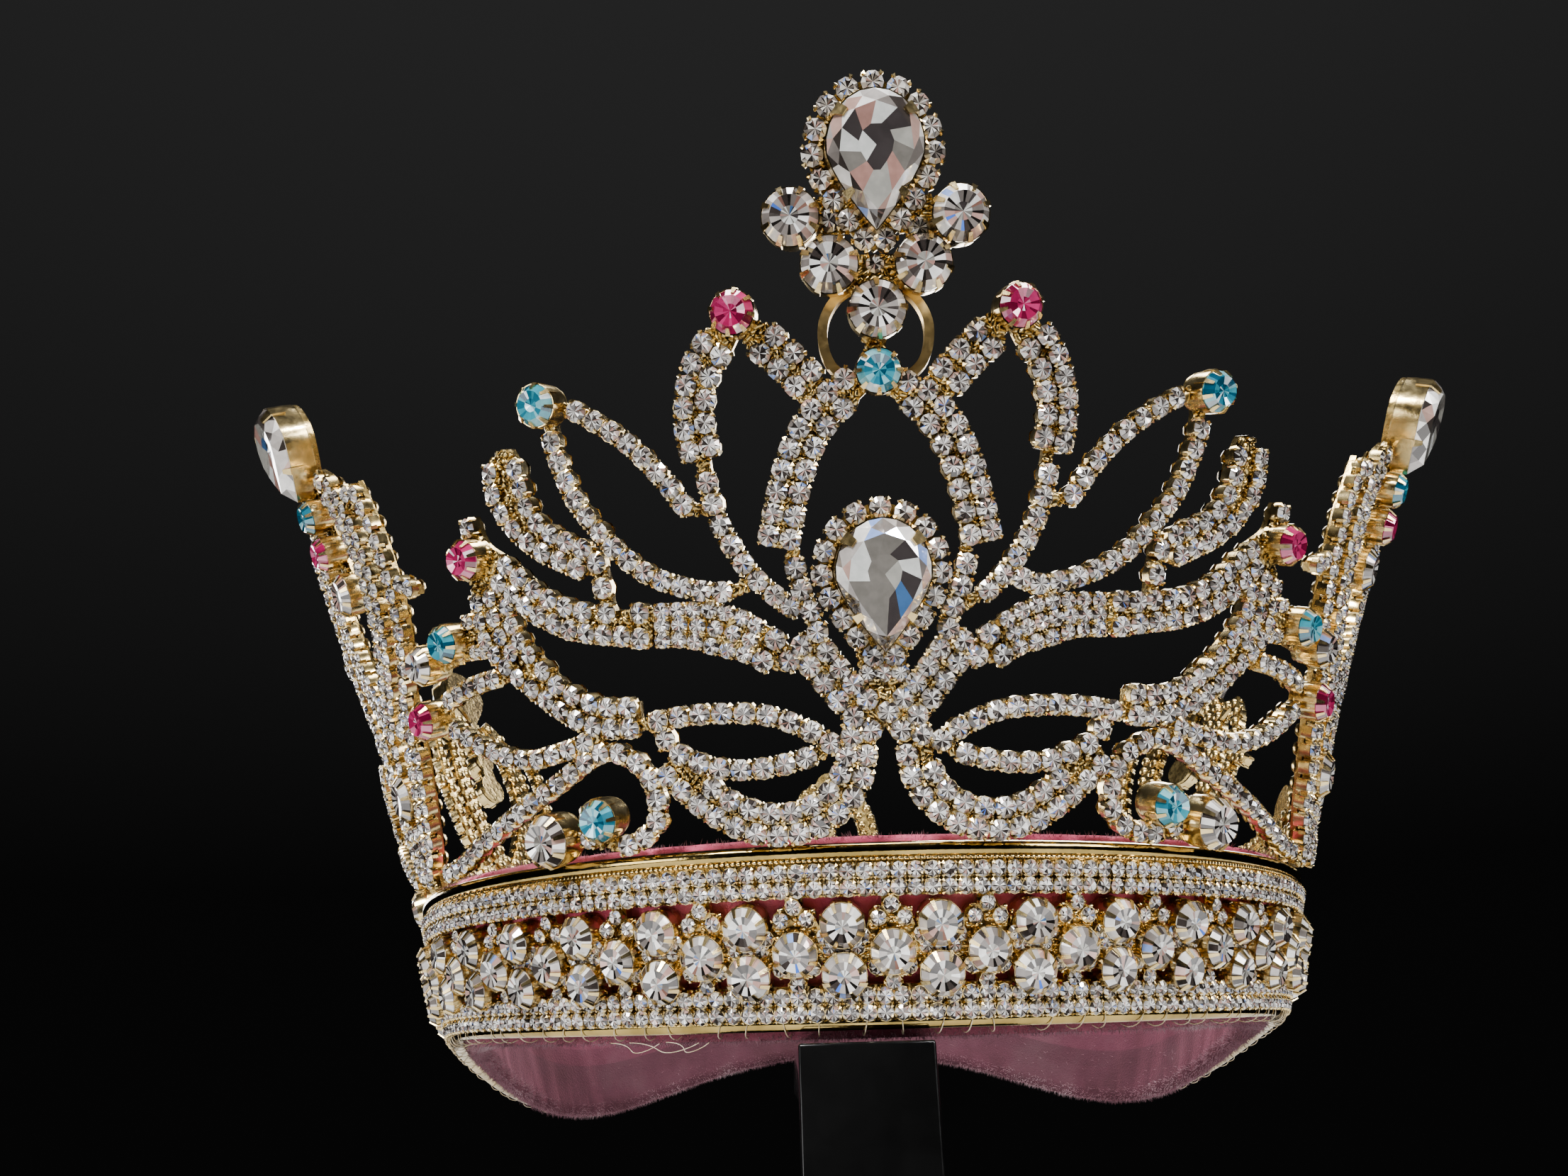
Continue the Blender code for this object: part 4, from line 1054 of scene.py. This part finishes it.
def panelPlate(facing, strips, stones, cups, draw):
    outlines = []
    for rows in strips.values():
        for side in sidesOf(*(row[0] for row in rows)):
            outlines.append(stripOutline(rows, side, chainWork["plateTrim"], draw))
    for _, across, up, kind in stones:
        wide, tall = wallScale(up)
        shape = mainOutline(kind, 40, 20, 0.4)
        if kind == "drop":
            shape = growOutline(shape, 2.2 if stones is frontStones else -0.2)
        for side in sidesOf(across):
            outlines.append(shape / (wide, tall) + (drawnIn(side * across, up, draw), up))
    for across, up in cups:
        wide, tall = wallScale(up)
        outlines.append(roundOutline(7.6, 20) / (wide, tall) + (across, up))
    flat, triangles = coverOutlines(outlines, ())
    return plateShape(flat, triangles, onWall, facing, chainWork["plateLow"], chainWork["plateHigh"])


# Building one panel.

chainStone, bandStone, cupForStone = smallStoneShape(10), smallStoneShape(8), smallCupShape()


def cutFor(kind, squash=1.0):
    # points, triangles and their painted reflection tones for one of the larger stones
    sizes = stoneKinds[kind]
    height = sizes["height"] * squash
    if kind == "drop":
        outline = dropOutline(sizes["wide"], sizes["tall"], sizes["sides"])
        points, triangles, facets = dropStoneShape(outline, height, sizes["culet"])
        tones = drawTones("bezel", facets.max() + 1)
        tones[:16] = drawTones("table", 16)
        return points, triangles, tones[facets]
    points, triangles, facets, roles = roundStoneShape(sizes["wide"], height, sizes["sides"])
    return points, triangles, roundTones(roles, sizes["colour"])[facets]


def roundTones(roles, colour):
    if colour != "clear":
        return drawTones(colour, len(roles))
    tones = np.zeros((len(roles), 3))
    for role in ("wedge", "spoke", "bezel", "table"):
        chosen = roles == role
        tones[chosen] = drawTones(role, chosen.sum())
    return tones


def cupFor(kind, low, squash=1.0):
    sizes = stoneKinds[kind]
    height = sizes["height"] * squash
    slope = mainWork["dropSlope"]
    if kind != "drop":
        slope = (1.0 - cut["girdle"]) * height / (sizes["wide"] / 2 * (1.0 - cut["roundTable"]))
    return cupShape(mainOutline(kind), low, cut["girdle"] * height - 0.1, mainWork["cupWall"],
                    sizes["claws"], slope)


def setMainStone(node, facing, across, up, kind, goldShapes):
    sizes = stoneKinds[kind]
    azimuth = np.array([math.radians(facing) + across / crown["ringRadius"]])
    turn = 0.0 if kind == "drop" else dice.uniform(0.0, fullTurn)
    spot = spotsOn(onWall, azimuth, np.array([up]), mainWork["seatDepth"], 1.0, turn)
    points, triangles, tones = cutFor(kind)
    addShape(node + "_cut", stamp((points, triangles), spot), glass[sizes["colour"]],
             (node,), colours=tones)
    goldShapes.append(stamp(cupFor(kind, mainWork["cupLow"]), spot))


def setLooseRound(facing, across, up, goldShapes, stoneShapes):
    # a large round that has no node of its own
    azimuth = np.array([math.radians(facing) + across / crown["ringRadius"]])
    spot = spotsOn(onWall, azimuth, np.array([up]), 1.0, 1.0, dice.uniform(0.0, fullTurn))
    points, triangles, tones = cutFor("large", 0.8)
    placed, faces = stamp((points, triangles), spot)
    stoneShapes.append((placed, faces, tones))
    goldShapes.append(stamp(cupFor("large", -0.9, 0.8), spot))


def buildPanel(name, panelNode, facing, strips, stones, cups, prefix):
    draw = crown["leftDraw"] if stones is frontStones else 0.0
    blockers = [*stones, *(("cup", across, up, "large") for across, up in cups)]
    placer = Placer(blockers, draw)
    if stones is frontStones:
        for _, across, up, kind in stones:
            if kind == "drop":
                layHalo(placer, across, up, kind)
    layStrips(placer, strips)
    spots = chainSpots(placer, facing)
    goldShapes = [stamp(cupForStone, spots)]
    lumps = stamp(lumpShape(), solderSpots(placer, strips, facing))
    behind = {key: value.copy() for key, value in spots.items()}
    behind["place"] = behind["place"] - behind["out"] * chainWork["backDepth"]
    backs = stamp(backShape(), behind)
    placed, faces = stamp(chainStone[:2], spots)
    # painted reflections and highlights on the chain stones' facets
    colours = drawStarTones(chainStone[2], len(spots["place"]))
    looseStones = []
    for stoneName, across, up, kind in stones:
        for side, suffix in zip(sidesOf(across), ("_right", "_left")):
            place = float(drawnIn(side * across, up, draw))
            node = prefix + stoneName + ("" if across == 0.0 else suffix)
            setMainStone(node, facing, place, up, kind, goldShapes)
    for across, up in cups:
        setLooseRound(facing, across, up, goldShapes, looseStones)
    if stones is frontStones:
        ringShapes = []
        for side in (1, -1):
            path = curveThrough([(side * x, y, 0.0) for x, y in ringWire], 0.6)
            place, _, _, out = onWall(path[:, 0] / crown["ringRadius"], path[:, 1])
            ringShapes.append(tube(place + out * 0.5, 0.95, 4, flat=0.7, turn=math.pi / 4))
        addShape(name + "Ring", joinShapes(ringShapes), gold["ringGold"], (), 38)
    addShape(name + "Gold", joinShapes(goldShapes), gold["chainGold"], (panelNode,), 38)
    plate = panelPlate(facing, strips, stones, cups, draw)
    addShape(name + "Solder", joinShapes([plate, lumps, backs]), gold["solderGold"], (), 50)
    shapes = [(placed, faces)] + [(points, triangles) for points, triangles, _ in looseStones]
    addShape(name + "Stones", joinShapes(shapes), glass["clear"],
             colours=np.concatenate([colours] + [tones for _, _, tones in looseStones]))
    return len(spots["place"])


count = buildPanel("frontPanel", "front_panel", 0.0, frontStrips, frontStones, (), "front_")
print("front panel laid,", count, "small stones")
for side, facing in (("right", 1.0), ("left", -1.0)):
    for place, degrees in (("side", 60.0), ("rear", 120.0)):
        buildPanel(place + "Peak" + side.title(), place + "_peak_" + side, facing * degrees,
                   peakStrips, peakStones, peakCups, place + "_" + side + "_")
    for place, degrees in (("side", 90.0), ("rear", 150.0)):
        buildPanel(place + "Link" + side.title(), place + "_link_" + side, facing * degrees,
                   linkStrips, (), linkCups, "")
buildPanel("backArch", "back_arch", 180.0, backStrips, (), backCups, "")
print("peaks, links and back arch laid")


# The band.

band = {
    "units": 39, "thick": 1.6, "rimHeight": 1.9, "rimProud": 0.62, "steps": 468,
    "upperRows": (20.62, 18.38), "lowerRows": (4.60, 2.42), "rowPitch": 2.32, "rowStone": 1.17,
    "wireUp": 22.0, "wirePitch": 0.78, "wireBead": 0.36, "wireDepth": 0.15, "topRadius": 84.3,
    "lumpPitch": 0.85,
    "lumpSize": (0.32, 0.62), "lumpDepth": 0.1,
    "bigStone": 3.0, "bigHeight": 2.3, "bigTop": 13.9, "bigLow": 7.5, "bigMiddle": 10.4,
    "smallStone": 1.12,
    "smallPlaces": ((0.0, 16.2), (1.85, 14.5), (-1.85, 14.5), (4.2, 12.3), (-4.2, 12.3),
                    (2.35, 8.3), (-2.35, 8.3), (0.0, 6.3)),
    "betweenPlaces": ((0.0, 10.7), (1.9, 10.9), (-1.9, 10.9)),
}
latticeGaps = (
    ((-5.6, 17.2), (-5.6, 15.8), (-4.6, 15.7), (-3.8, 15.1), (-3.7, 14.0), (-3.2, 13.0), (-3.0, 14.3),
     (-2.5, 15.6), (-1.4, 16.5), (0.0, 16.85), (1.4, 16.5), (2.5, 15.6), (3.0, 14.3), (3.2, 13.0),
     (3.7, 14.0), (3.8, 15.1), (4.6, 15.7), (5.6, 15.8), (5.6, 17.2)),
    ((-5.6, 5.75), (-2.75, 5.75), (-3.1, 7.3), (-3.2, 9.0), (-3.5, 8.2), (-4.2, 7.2), (-5.6, 6.7)),
    ((5.6, 5.75), (2.75, 5.75), (3.1, 7.3), (3.2, 9.0), (3.5, 8.2), (4.2, 7.2), (5.6, 6.7)),
)


halfUnit = math.pi * crown["ringRadius"] / band["units"]


def ringSweep(profile):
    # closed profile of (depth, up) carried round the crown
    depth, up = profile[:, 0], profile[:, 1]
    loops = []
    for angle in fullTurn * np.arange(band["steps"]) / band["steps"]:
        place, _, _, out = onBand(np.full(len(up), angle), up)
        loops.append(place + out * depth[:, None])
    return loft(loops)


def rimProfile(low, high):
    middle, half, proud = (low + high) / 2, (high - low) / 2, band["rimProud"]
    bulge = [(proud * math.cos(angle), middle + half * math.sin(angle))
             for angle in np.linspace(-math.pi / 2, math.pi / 2, 9)]
    return np.array([(-band["thick"], low), *bulge, (-band["thick"], high)])


def buildBand():
    high = crown["bandHeight"]
    sheet = [((-halfUnit, 1.0), (halfUnit, 1.0), (halfUnit, high - 1.0), (-halfUnit, high - 1.0))]
    flat, triangles = coverOutlines(sheet, latticeGaps)
    sheets = []
    for number in range(band["units"]):
        facing = 360.0 * (number + 0.5) / band["units"]
        sheets.append(plateShape(flat, triangles, onBand, facing, -band["thick"] + 0.1, -0.15))
    rims = [ringSweep(rimProfile(low, low + band["rimHeight"]))
            for low in (0.0, high - band["rimHeight"])]
    addShape("bandRims", joinShapes(rims), gold["rimGold"], ("band",), 50)
    addShape("bandLattice", joinShapes(sheets), gold["solderGold"], (), 50)


def bandSpots(across, up, depth, size, turn=0.0):
    # the same places in every unit of the lattice
    units = (np.arange(band["units"]) + 0.5) * fullTurn / band["units"]
    azimuth = (units[:, None] + np.asarray(across)[None] / crown["ringRadius"]).ravel()
    ups = np.tile(np.asarray(up, float), band["units"])
    return spotsOn(onBand, azimuth, ups, depth, size, turn)


def wireSpots():
    # beaded wire under the top rim
    count = int(fullTurn * band["topRadius"] / band["wirePitch"])
    azimuth = fullTurn * np.arange(count) / count
    return spotsOn(onBand, azimuth, np.full(count, band["wireUp"]), band["wireDepth"], band["wireBead"])


def latticeLumps():
    # solder between the stones of the lattice, the same in every unit
    stones = [(x, y, 1.15) for x, y in band["betweenPlaces"]]
    stones += [(x + side, y, 1.15) for x, y in band["smallPlaces"] for side in (halfUnit, -halfUnit)]
    stones += [(0.0, band["bigTop"], 2.6), (0.0, band["bigLow"], 2.6)]
    stones += [(halfUnit, band["bigMiddle"], 2.6), (-halfUnit, band["bigMiddle"], 2.6)]
    kept = []
    for x in np.arange(-halfUnit, halfUnit - 0.1, band["lumpPitch"]):
        for y in np.arange(6.2, 17.0, band["lumpPitch"]):
            spot = np.array([x, y]) + dice.uniform(-0.2, 0.2, 2)
            clear = all(math.hypot(spot[0] - a, spot[1] - b) > reach for a, b, reach in stones)
            if clear and not any(insideOutline(np.array(gap), spot) for gap in latticeGaps):
                kept.append(spot)
    across, up = np.array(kept).T
    size = np.tile(dice.uniform(*band["lumpSize"], len(kept)), band["units"])
    return bandSpots(across, up, band["lumpDepth"], size)


buildBand()
rowSpots = []
for up in (*band["upperRows"], *band["lowerRows"]):
    widening = (crown["ringRadius"] - crown["bottomRadius"]) * up / crown["bandHeight"]
    radius = crown["bottomRadius"] + widening
    if up > crown["bandHeight"] / 2:
        radius = band["topRadius"]
    count = int(fullTurn * radius / band["rowPitch"])
    azimuth = fullTurn * (np.arange(count) + 0.5) / count
    rowSpots.append(spotsOn(onBand, azimuth, np.full(count, up), 1.0, band["rowStone"]))
smallAcross = [halfUnit + x for x, _ in band["smallPlaces"]] + [x for x, _ in band["betweenPlaces"]]
smallUp = [y for _, y in band["smallPlaces"]] + [y for _, y in band["betweenPlaces"]]
smallSpots = bandSpots(smallAcross, smallUp, 1.05, band["smallStone"], math.pi / 4)
rowSpots = wobble(joinSpots(rowSpots), 0.05)
smallSpots = wobble(smallSpots, 0.09)
allSmall = joinSpots([rowSpots, smallSpots])
bigSpots = wobble(bandSpots([0.0, 0.0, halfUnit], [band["bigTop"], band["bigLow"], band["bigMiddle"]],
                            0.9, 1.0), 0.05)
bigShape = roundStoneShape(2 * band["bigStone"], band["bigHeight"], 9)
bigSlope = (1.0 - cut["girdle"]) * band["bigHeight"] / (band["bigStone"] * (1.0 - cut["roundTable"]))
bigCup = cupShape(roundOutline(2 * band["bigStone"], 32), -1.0, cut["girdle"] * band["bigHeight"] - 0.1,
                  0.10, tuple((angle, "band") for angle in eightRound), bigSlope)
addShape("bandCups", stamp(cupForStone, allSmall), gold["chainGold"], (), 38)
beads = joinSpots([wireSpots(), latticeLumps()])
addShape("bandSolder", stamp(lumpShape(), beads), gold["chainGold"], (), 50)
addShape("bandBigCups", stamp(bigCup, bigSpots), gold["chainGold"], (), 38)
# painted reflections and highlights on the facets of the band's small and large stones
addShape("bandSmallStones", stamp(bandStone[:2], allSmall), glass["clear"],
         colours=drawStarTones(bandStone[2], len(allSmall["place"])))
points, triangles, facets, roles = bigShape
addShape("bandBigStones", stamp((points, triangles), bigSpots), glass["clear"],
         colours=np.concatenate([roundTones(roles, "clear")[facets] for _ in bigSpots["place"]]))
print("band set,", len(allSmall["place"]), "small and", len(bigSpots["place"]), "large stones")


# Velvet lining.

lining = {
    "steps": 900, "outer": 2.25, "thick": 2.8, "above": 1.4, "hem": 1.1, "foldDepth": 0.55,
    # waves round the wall, size, slant, phase
    "folds": ((23, 0.30, 0.0, 0.4), (41, 0.26, 0.06, 1.7), (67, 0.20, -0.05, 3.1),
              (11, 0.24, 0.03, 5.2)),
    "pucker": 0.22, "puckers": 90,
    "fibres": 26000, "fibreLength": 0.85, "fibreWide": 0.055,
    # painted light and shade on the velvet wall: the inside's brightness by height, the outside's
    # painted brightening, and the outside's darkest share low down
    "insideLight": (0.17, 0.14, 0.34, 0.95), "outsidePaintedLight": (1.9, 1.9, 1.7), "outsidePaintedShade": 0.22,
}


def liningLoops():
    outer, inner = lining["outer"], lining["outer"] + lining["thick"]
    top = crown["bandHeight"] + lining["above"]
    # depth in from the band's face, up, share of the folds, share of the puckers
    rows = np.array([
        (outer, 1.2, 0.0, 0.0), (outer, 6.0, 0.0, 0.0), (outer, 12.0, 0.0, 0.0), (outer, 18.0, 0.0, 0.0),
        (outer, top - 1.3, 0.0, 0.0), (outer + 0.25, top - 0.45, 0.0, 0.4), (outer + 0.9, top, 0.0, 0.6),
        (inner - 0.9, top, 0.1, 0.6), (inner - 0.2, top - 0.5, 0.2, 0.6), (inner, top - 1.5, 0.5, 0.4),
        (inner + 0.1, 20.0, 0.9, 0.0), (inner + 0.3, 16.5, 1.0, 0.0), (inner + 0.5, 13.0, 1.0, 0.0),
        (inner + 0.7, 9.5, 1.0, 0.0), (inner + 0.8, 6.0, 1.0, 0.2), (inner + 0.8, 3.4, 0.8, 0.6),
        (inner + 0.9, 1.6, 0.6, 1.0), (inner + 0.8, 0.3, 0.4, 1.0), (inner + 0.2, -0.6, 0.2, 0.8),
        (inner - 0.8, -lining["hem"], 0.0, 0.8), (outer + 0.9, -lining["hem"], 0.0, 0.6),
        (outer + 0.2, -0.55, 0.0, 0.3), (outer, 0.1, 0.0, 0.0),
    ])
    angles = fullTurn * np.arange(lining["steps"]) / lining["steps"]
    loops = []
    for angle in angles:
        fold = sum(size * np.sin(waves * angle + slant * rows[:, 1] + phase)
                   for waves, size, slant, phase in lining["folds"])
        pucker = abs(math.sin(lining["puckers"] * angle / 2)) ** 0.6 - 0.6
        depth = rows[:, 0] + rows[:, 2] * lining["foldDepth"] * fold
        depth = depth + rows[:, 3] * lining["pucker"] * pucker * np.sign(rows[:, 0] - outer - 1.4)
        up = rows[:, 1] + rows[:, 3] * 0.25 * lining["pucker"] * pucker * np.sign(rows[:, 1] - 12.0)
        place = onBand(np.full(len(up), angle), up)[0]
        radial = np.array([math.sin(angle), -math.cos(angle), 0.0])
        loops.append(place - radial * depth[:, None])
    return np.array(loops), rows


def buildLining():
    loops, rows = liningLoops()
    points, triangles = loft(loops)
    outside = rows[:, 0] < lining["outer"] + 1.0
    # painted shade and light: the inside darker low down and brighter towards its top edge, the outside
    # brightened and darker towards the bottom
    lit = np.interp(rows[:, 1], (0.0, 10.0, 18.0, 25.0), lining["insideLight"])
    outsideShading = np.interp(rows[:, 1], (1.5, 5.5), (lining["outsidePaintedShade"], 1.0))[:, None]
    paintedShading = np.where(outside[:, None], outsideShading * np.array([lining["outsidePaintedLight"]]),
                     lit[:, None] * np.array([(1.0, 1.15, 1.1)]))
    wall = addShape("velvetWall", (points, triangles[:, ::-1]), velvet["pinkVelvet"],
                    ("velvet_lining",), 60, np.tile(np.repeat(paintedShading, 2, axis=0), (len(loops), 1)))
    return loops, rows


def buildFuzz(loops, rows):
    # short fibres on the hem and on the top edge, thinner over the rest of the inside
    weight = np.where(rows[:, 1] < 2.0, 1.0, 0.06)
    weight[:5] = 0.0
    weight[5:10] = 0.4
    weight[-2:] = 0.5
    count = lining["fibres"]
    row = dice.choice(len(rows), size=count, p=weight / weight.sum())
    step = dice.integers(0, len(loops), count)
    after, beyond = (step + 1) % len(loops), (row + 1) % len(rows)
    share = dice.uniform(0.0, 1.0, (count, 1))
    rise = dice.uniform(0.0, 1.0, (count, 1))
    a, b = loops[step, row], loops[after, row]
    c, d = loops[step, beyond], loops[after, beyond]
    root = (a * (1 - share) + b * share) * (1 - rise) + (c * (1 - share) + d * share) * rise
    normal = unit(np.cross(b - a, c - a), 1e-9)
    centre = loops.mean(1)[step]
    normal[np.sum(normal * (root - centre), 1) < 0] *= -1
    tip = unit(normal + dice.normal(0.0, 0.45, (count, 3)))
    tip = root + tip * lining["fibreLength"] * dice.uniform(0.5, 1.2, (count, 1))
    side = unit(np.cross(tip - root, (0.3, 0.5, 0.8)), 1e-9)
    other = unit(np.cross(tip - root, side), 1e-9)
    wide = lining["fibreWide"]
    root = root - normal * 0.05
    points = np.stack([root + side * wide, root - side * wide * 0.5 + other * wide * 0.87,
                       root - side * wide * 0.5 - other * wide * 0.87, tip], 1)
    shape = np.array([(0, 1, 3), (1, 2, 3), (2, 0, 3), (0, 2, 1)])
    triangles = (shape[None] + np.arange(count)[:, None, None] * 4).reshape(-1, 3)
    addShape("velvetPile", (points.reshape(-1, 3), triangles), velvet["velvetFuzz"])


loops, rows = buildLining()
buildFuzz(loops, rows)
print("lining padded and its pile laid")

stitches = {
    "count": 96, "radius": 0.075, "slant": 1.6,
    "tails": ((-31.0, 9.0), (-28.5, 12.0), (-24.0, 7.0)),
}


def threadFinish():
    finish, nodes, links, shader = newFinish("stitchThread", (0.55, 0.44, 0.28), Roughness=0.55)
    twist = addNoise(nodes, links, 1800.0, 2.0)
    links.new(addRamp(nodes, links, twist, [(0.35, (0.36, 0.27, 0.14)), (0.65, (0.60, 0.52, 0.38))]),
              shader.inputs["Base Color"])
    addBump(nodes, links, shader, twist, 0.3, 0.0002)
    return finish


def buildStitches():
    shapes = []
    for number in range(stitches["count"]):
        turns = number + dice.uniform(-0.25, 0.25)
        across = fullTurn * crown["ringRadius"] * turns / stitches["count"]
        slant = stitches["slant"] * dice.uniform(0.3, 1.3) * (1 if number % 3 else -0.6)
        rows = [(-2.4, -0.9, 0.0), (-0.9, -0.95, 0.15), (0.35, -0.3, 0.3), (0.75, 0.5, 0.5),
                (0.72, 1.4, 0.75), (0.35, 2.1, 1.0)]
        rows = curveThrough(rows, 0.5)
        azimuth = (across + rows[:, 2] * slant) / crown["ringRadius"]
        place, _, _, out = onBand(azimuth, rows[:, 1])
        shapes.append(tube(place + out * rows[:, :1], stitches["radius"], 5))
    for azimuth, long in stitches["tails"]:
        share = np.linspace(0.0, 1.0, 14)
        angle = np.radians(azimuth) + share * long / crown["ringRadius"] + 0.01 * np.sin(7 * share)
        up = -0.9 - 2.2 * np.sin(share * math.pi) * share
        place, _, _, out = onBand(angle, up)
        shapes.append(tube(place + out * (0.2 + 0.6 * share)[:, None], 0.05, 5))
    addShape("hemStitches", joinShapes(shapes), threadFinish(), (), 60)


buildStitches()
print("hem stitched")


# Stand.

stand = {"bevel": 0.4, "segments": 3}


def standFinish():
    finish, nodes, links, shader = newFinish(
        "glossBlack", (0.003, 0.003, 0.003), Roughness=0.16, Coat_Weight=0.15, Coat_Roughness=0.05)
    shader.inputs["Specular IOR Level"].default_value = 0.25
    cloud = addNoise(nodes, links, 40.0, 5.0)
    links.new(addRamp(nodes, links, cloud, [(0.35, 0.001), (0.75, 0.004)]), shader.inputs["Base Color"])
    dust = addNoise(nodes, links, 500.0, 3.0)
    links.new(addSpread(nodes, links, dust, 0.08, 0.24), shader.inputs["Roughness"])
    addBump(nodes, links, shader, cloud, 0.05, 0.0004)
    return finish


def buildStand():
    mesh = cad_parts["display_stand"].data.copy()
    mesh.name = "glossStand"
    mesh.materials.clear()
    bm = bmesh.new()
    bm.from_mesh(mesh)
    bmesh.ops.remove_doubles(bm, verts=bm.verts, dist=1e-6)
    bmesh.ops.dissolve_limit(bm, angle_limit=math.radians(2.0), verts=bm.verts, edges=bm.edges)
    sharp = [edge for edge in bm.edges if len(edge.link_faces) == 2 and edge.calc_face_angle() > 0.4]
    bmesh.ops.bevel(bm, geom=sharp, offset=stand["bevel"] * mm, segments=stand["segments"],
                    profile=0.5, affect="EDGES")
    bm.to_mesh(mesh)
    bm.free()
    mesh.shade_smooth()
    mesh.set_sharp_from_angle(angle=math.radians(35))
    addPiece("glossStand", mesh, standFinish(), ("display_stand",))


buildStand()
print("stand bevelled")


# Floor, light and camera.

studio = {
    "floorSize": 0.32, "floorShade": (0.62, 0.62, 0.61),
    "skyLow": 0.002, "skyMiddle": 0.003, "skyHigh": 0.03,
    "lights": (
        # name, place, size, watts
        ("keyPanel", (-0.45, -0.75, 0.80), 0.26, 16.5),
        ("fillPanel", (0.70, -0.60, 0.50), 0.34, 8.0),
        ("topPanel", (0.05, 0.05, 0.95), 0.40, 9.0),
        ("rimPanel", (0.35, 0.80, 0.60), 0.40, 7.5),
        ("backPanel", (-0.55, 0.65, 0.35), 0.36, 5.0),
        ("lowPanel", (-0.62, -0.50, 0.10), 0.26, 1.6),
        ("smallLamp", (-0.25, -0.70, 0.75), 0.05, 4.2),
        ("smallLampRight", (0.35, -0.65, 0.70), 0.05, 4.2),
    ),
    "aim": (0.0, 0.0, 0.15),
}
view = {
    "place": (-0.0145, -0.2446, 0.1021), "yaw": 0.41, "pitch": 20.49, "roll": -1.63,
    "focalPixels": 1614.0, "imageWidth": 2212.0, "sensor": 36.0,
}


def buildStudio():
    floorMesh = bpy.data.meshes.new("studioFloor")
    half = studio["floorSize"]
    floorMesh.from_pydata([(-half, -half, -1e-4), (half, -half, -1e-4), (half, half, -1e-4),
                           (-half, half, -1e-4)], [], [(0, 1, 2, 3)])
    floor = bpy.data.objects.new("studioFloor", floorMesh)
    bpy.context.collection.objects.link(floor)
    finish, nodes, links, shader = newFinish("floorPaper", studio["floorShade"], Roughness=0.65)
    grain = addNoise(nodes, links, 90.0, 4.0)
    links.new(addRamp(nodes, links, grain, [(0.3, 0.60), (0.7, 0.64)]), shader.inputs["Base Color"])
    floorMesh.materials.append(finish)

    world = bpy.data.worlds.new("studioAir")
    bpy.context.scene.world = world
    world.use_nodes = True
    nodes, links = world.node_tree.nodes, world.node_tree.links
    direction = nodes.new("ShaderNodeTexCoord")
    split = nodes.new("ShaderNodeSeparateXYZ")
    links.new(direction.outputs["Generated"], split.inputs["Vector"])
    spread = nodes.new("ShaderNodeMapRange")
    spread.inputs["From Min"].default_value = -1.0
    links.new(split.outputs["Z"], spread.inputs["Value"])
    shade = addRamp(nodes, links, spread.outputs["Result"],
                    [(0.0, studio["skyLow"]), (0.55, studio["skyMiddle"]), (1.0, studio["skyHigh"])])
    links.new(shade, nodes["Background"].inputs["Color"])

    for name, place, size, watts in studio["lights"]:
        lamp = bpy.data.lights.new(name, "AREA")
        lamp.size = size
        lamp.energy = watts
        light = bpy.data.objects.new(name, lamp)
        bpy.context.collection.objects.link(light)
        light.location = place
        aim = Vector(studio["aim"]) - Vector(place)
        light.rotation_euler = aim.to_track_quat("-Z", "Y").to_euler()


def buildCamera():
    yaw, pitch, roll = (math.radians(view[key]) for key in ("yaw", "pitch", "roll"))
    forward = Vector((math.sin(yaw) * math.cos(pitch), math.cos(yaw) * math.cos(pitch), math.sin(pitch)))
    right = Vector((math.cos(yaw), -math.sin(yaw), 0.0))
    upward = right.cross(forward)
    tiltedRight = right * math.cos(roll) + upward * math.sin(roll)
    tiltedUp = upward * math.cos(roll) - right * math.sin(roll)
    lens = bpy.data.cameras.new("photoCamera")
    lens.sensor_width = view["sensor"]
    lens.lens = view["focalPixels"] / view["imageWidth"] * view["sensor"]
    lens.clip_start = 0.005
    camera = bpy.data.objects.new("photoCamera", lens)
    bpy.context.collection.objects.link(camera)
    axes = np.eye(4)
    axes[:3, 0], axes[:3, 1], axes[:3, 2] = tiltedRight, tiltedUp, -forward
    axes[:3, 3] = view["place"]
    camera.matrix_world = Matrix(axes.tolist())
    bpy.context.scene.camera = camera


buildStudio()
buildCamera()
print("studio lit")
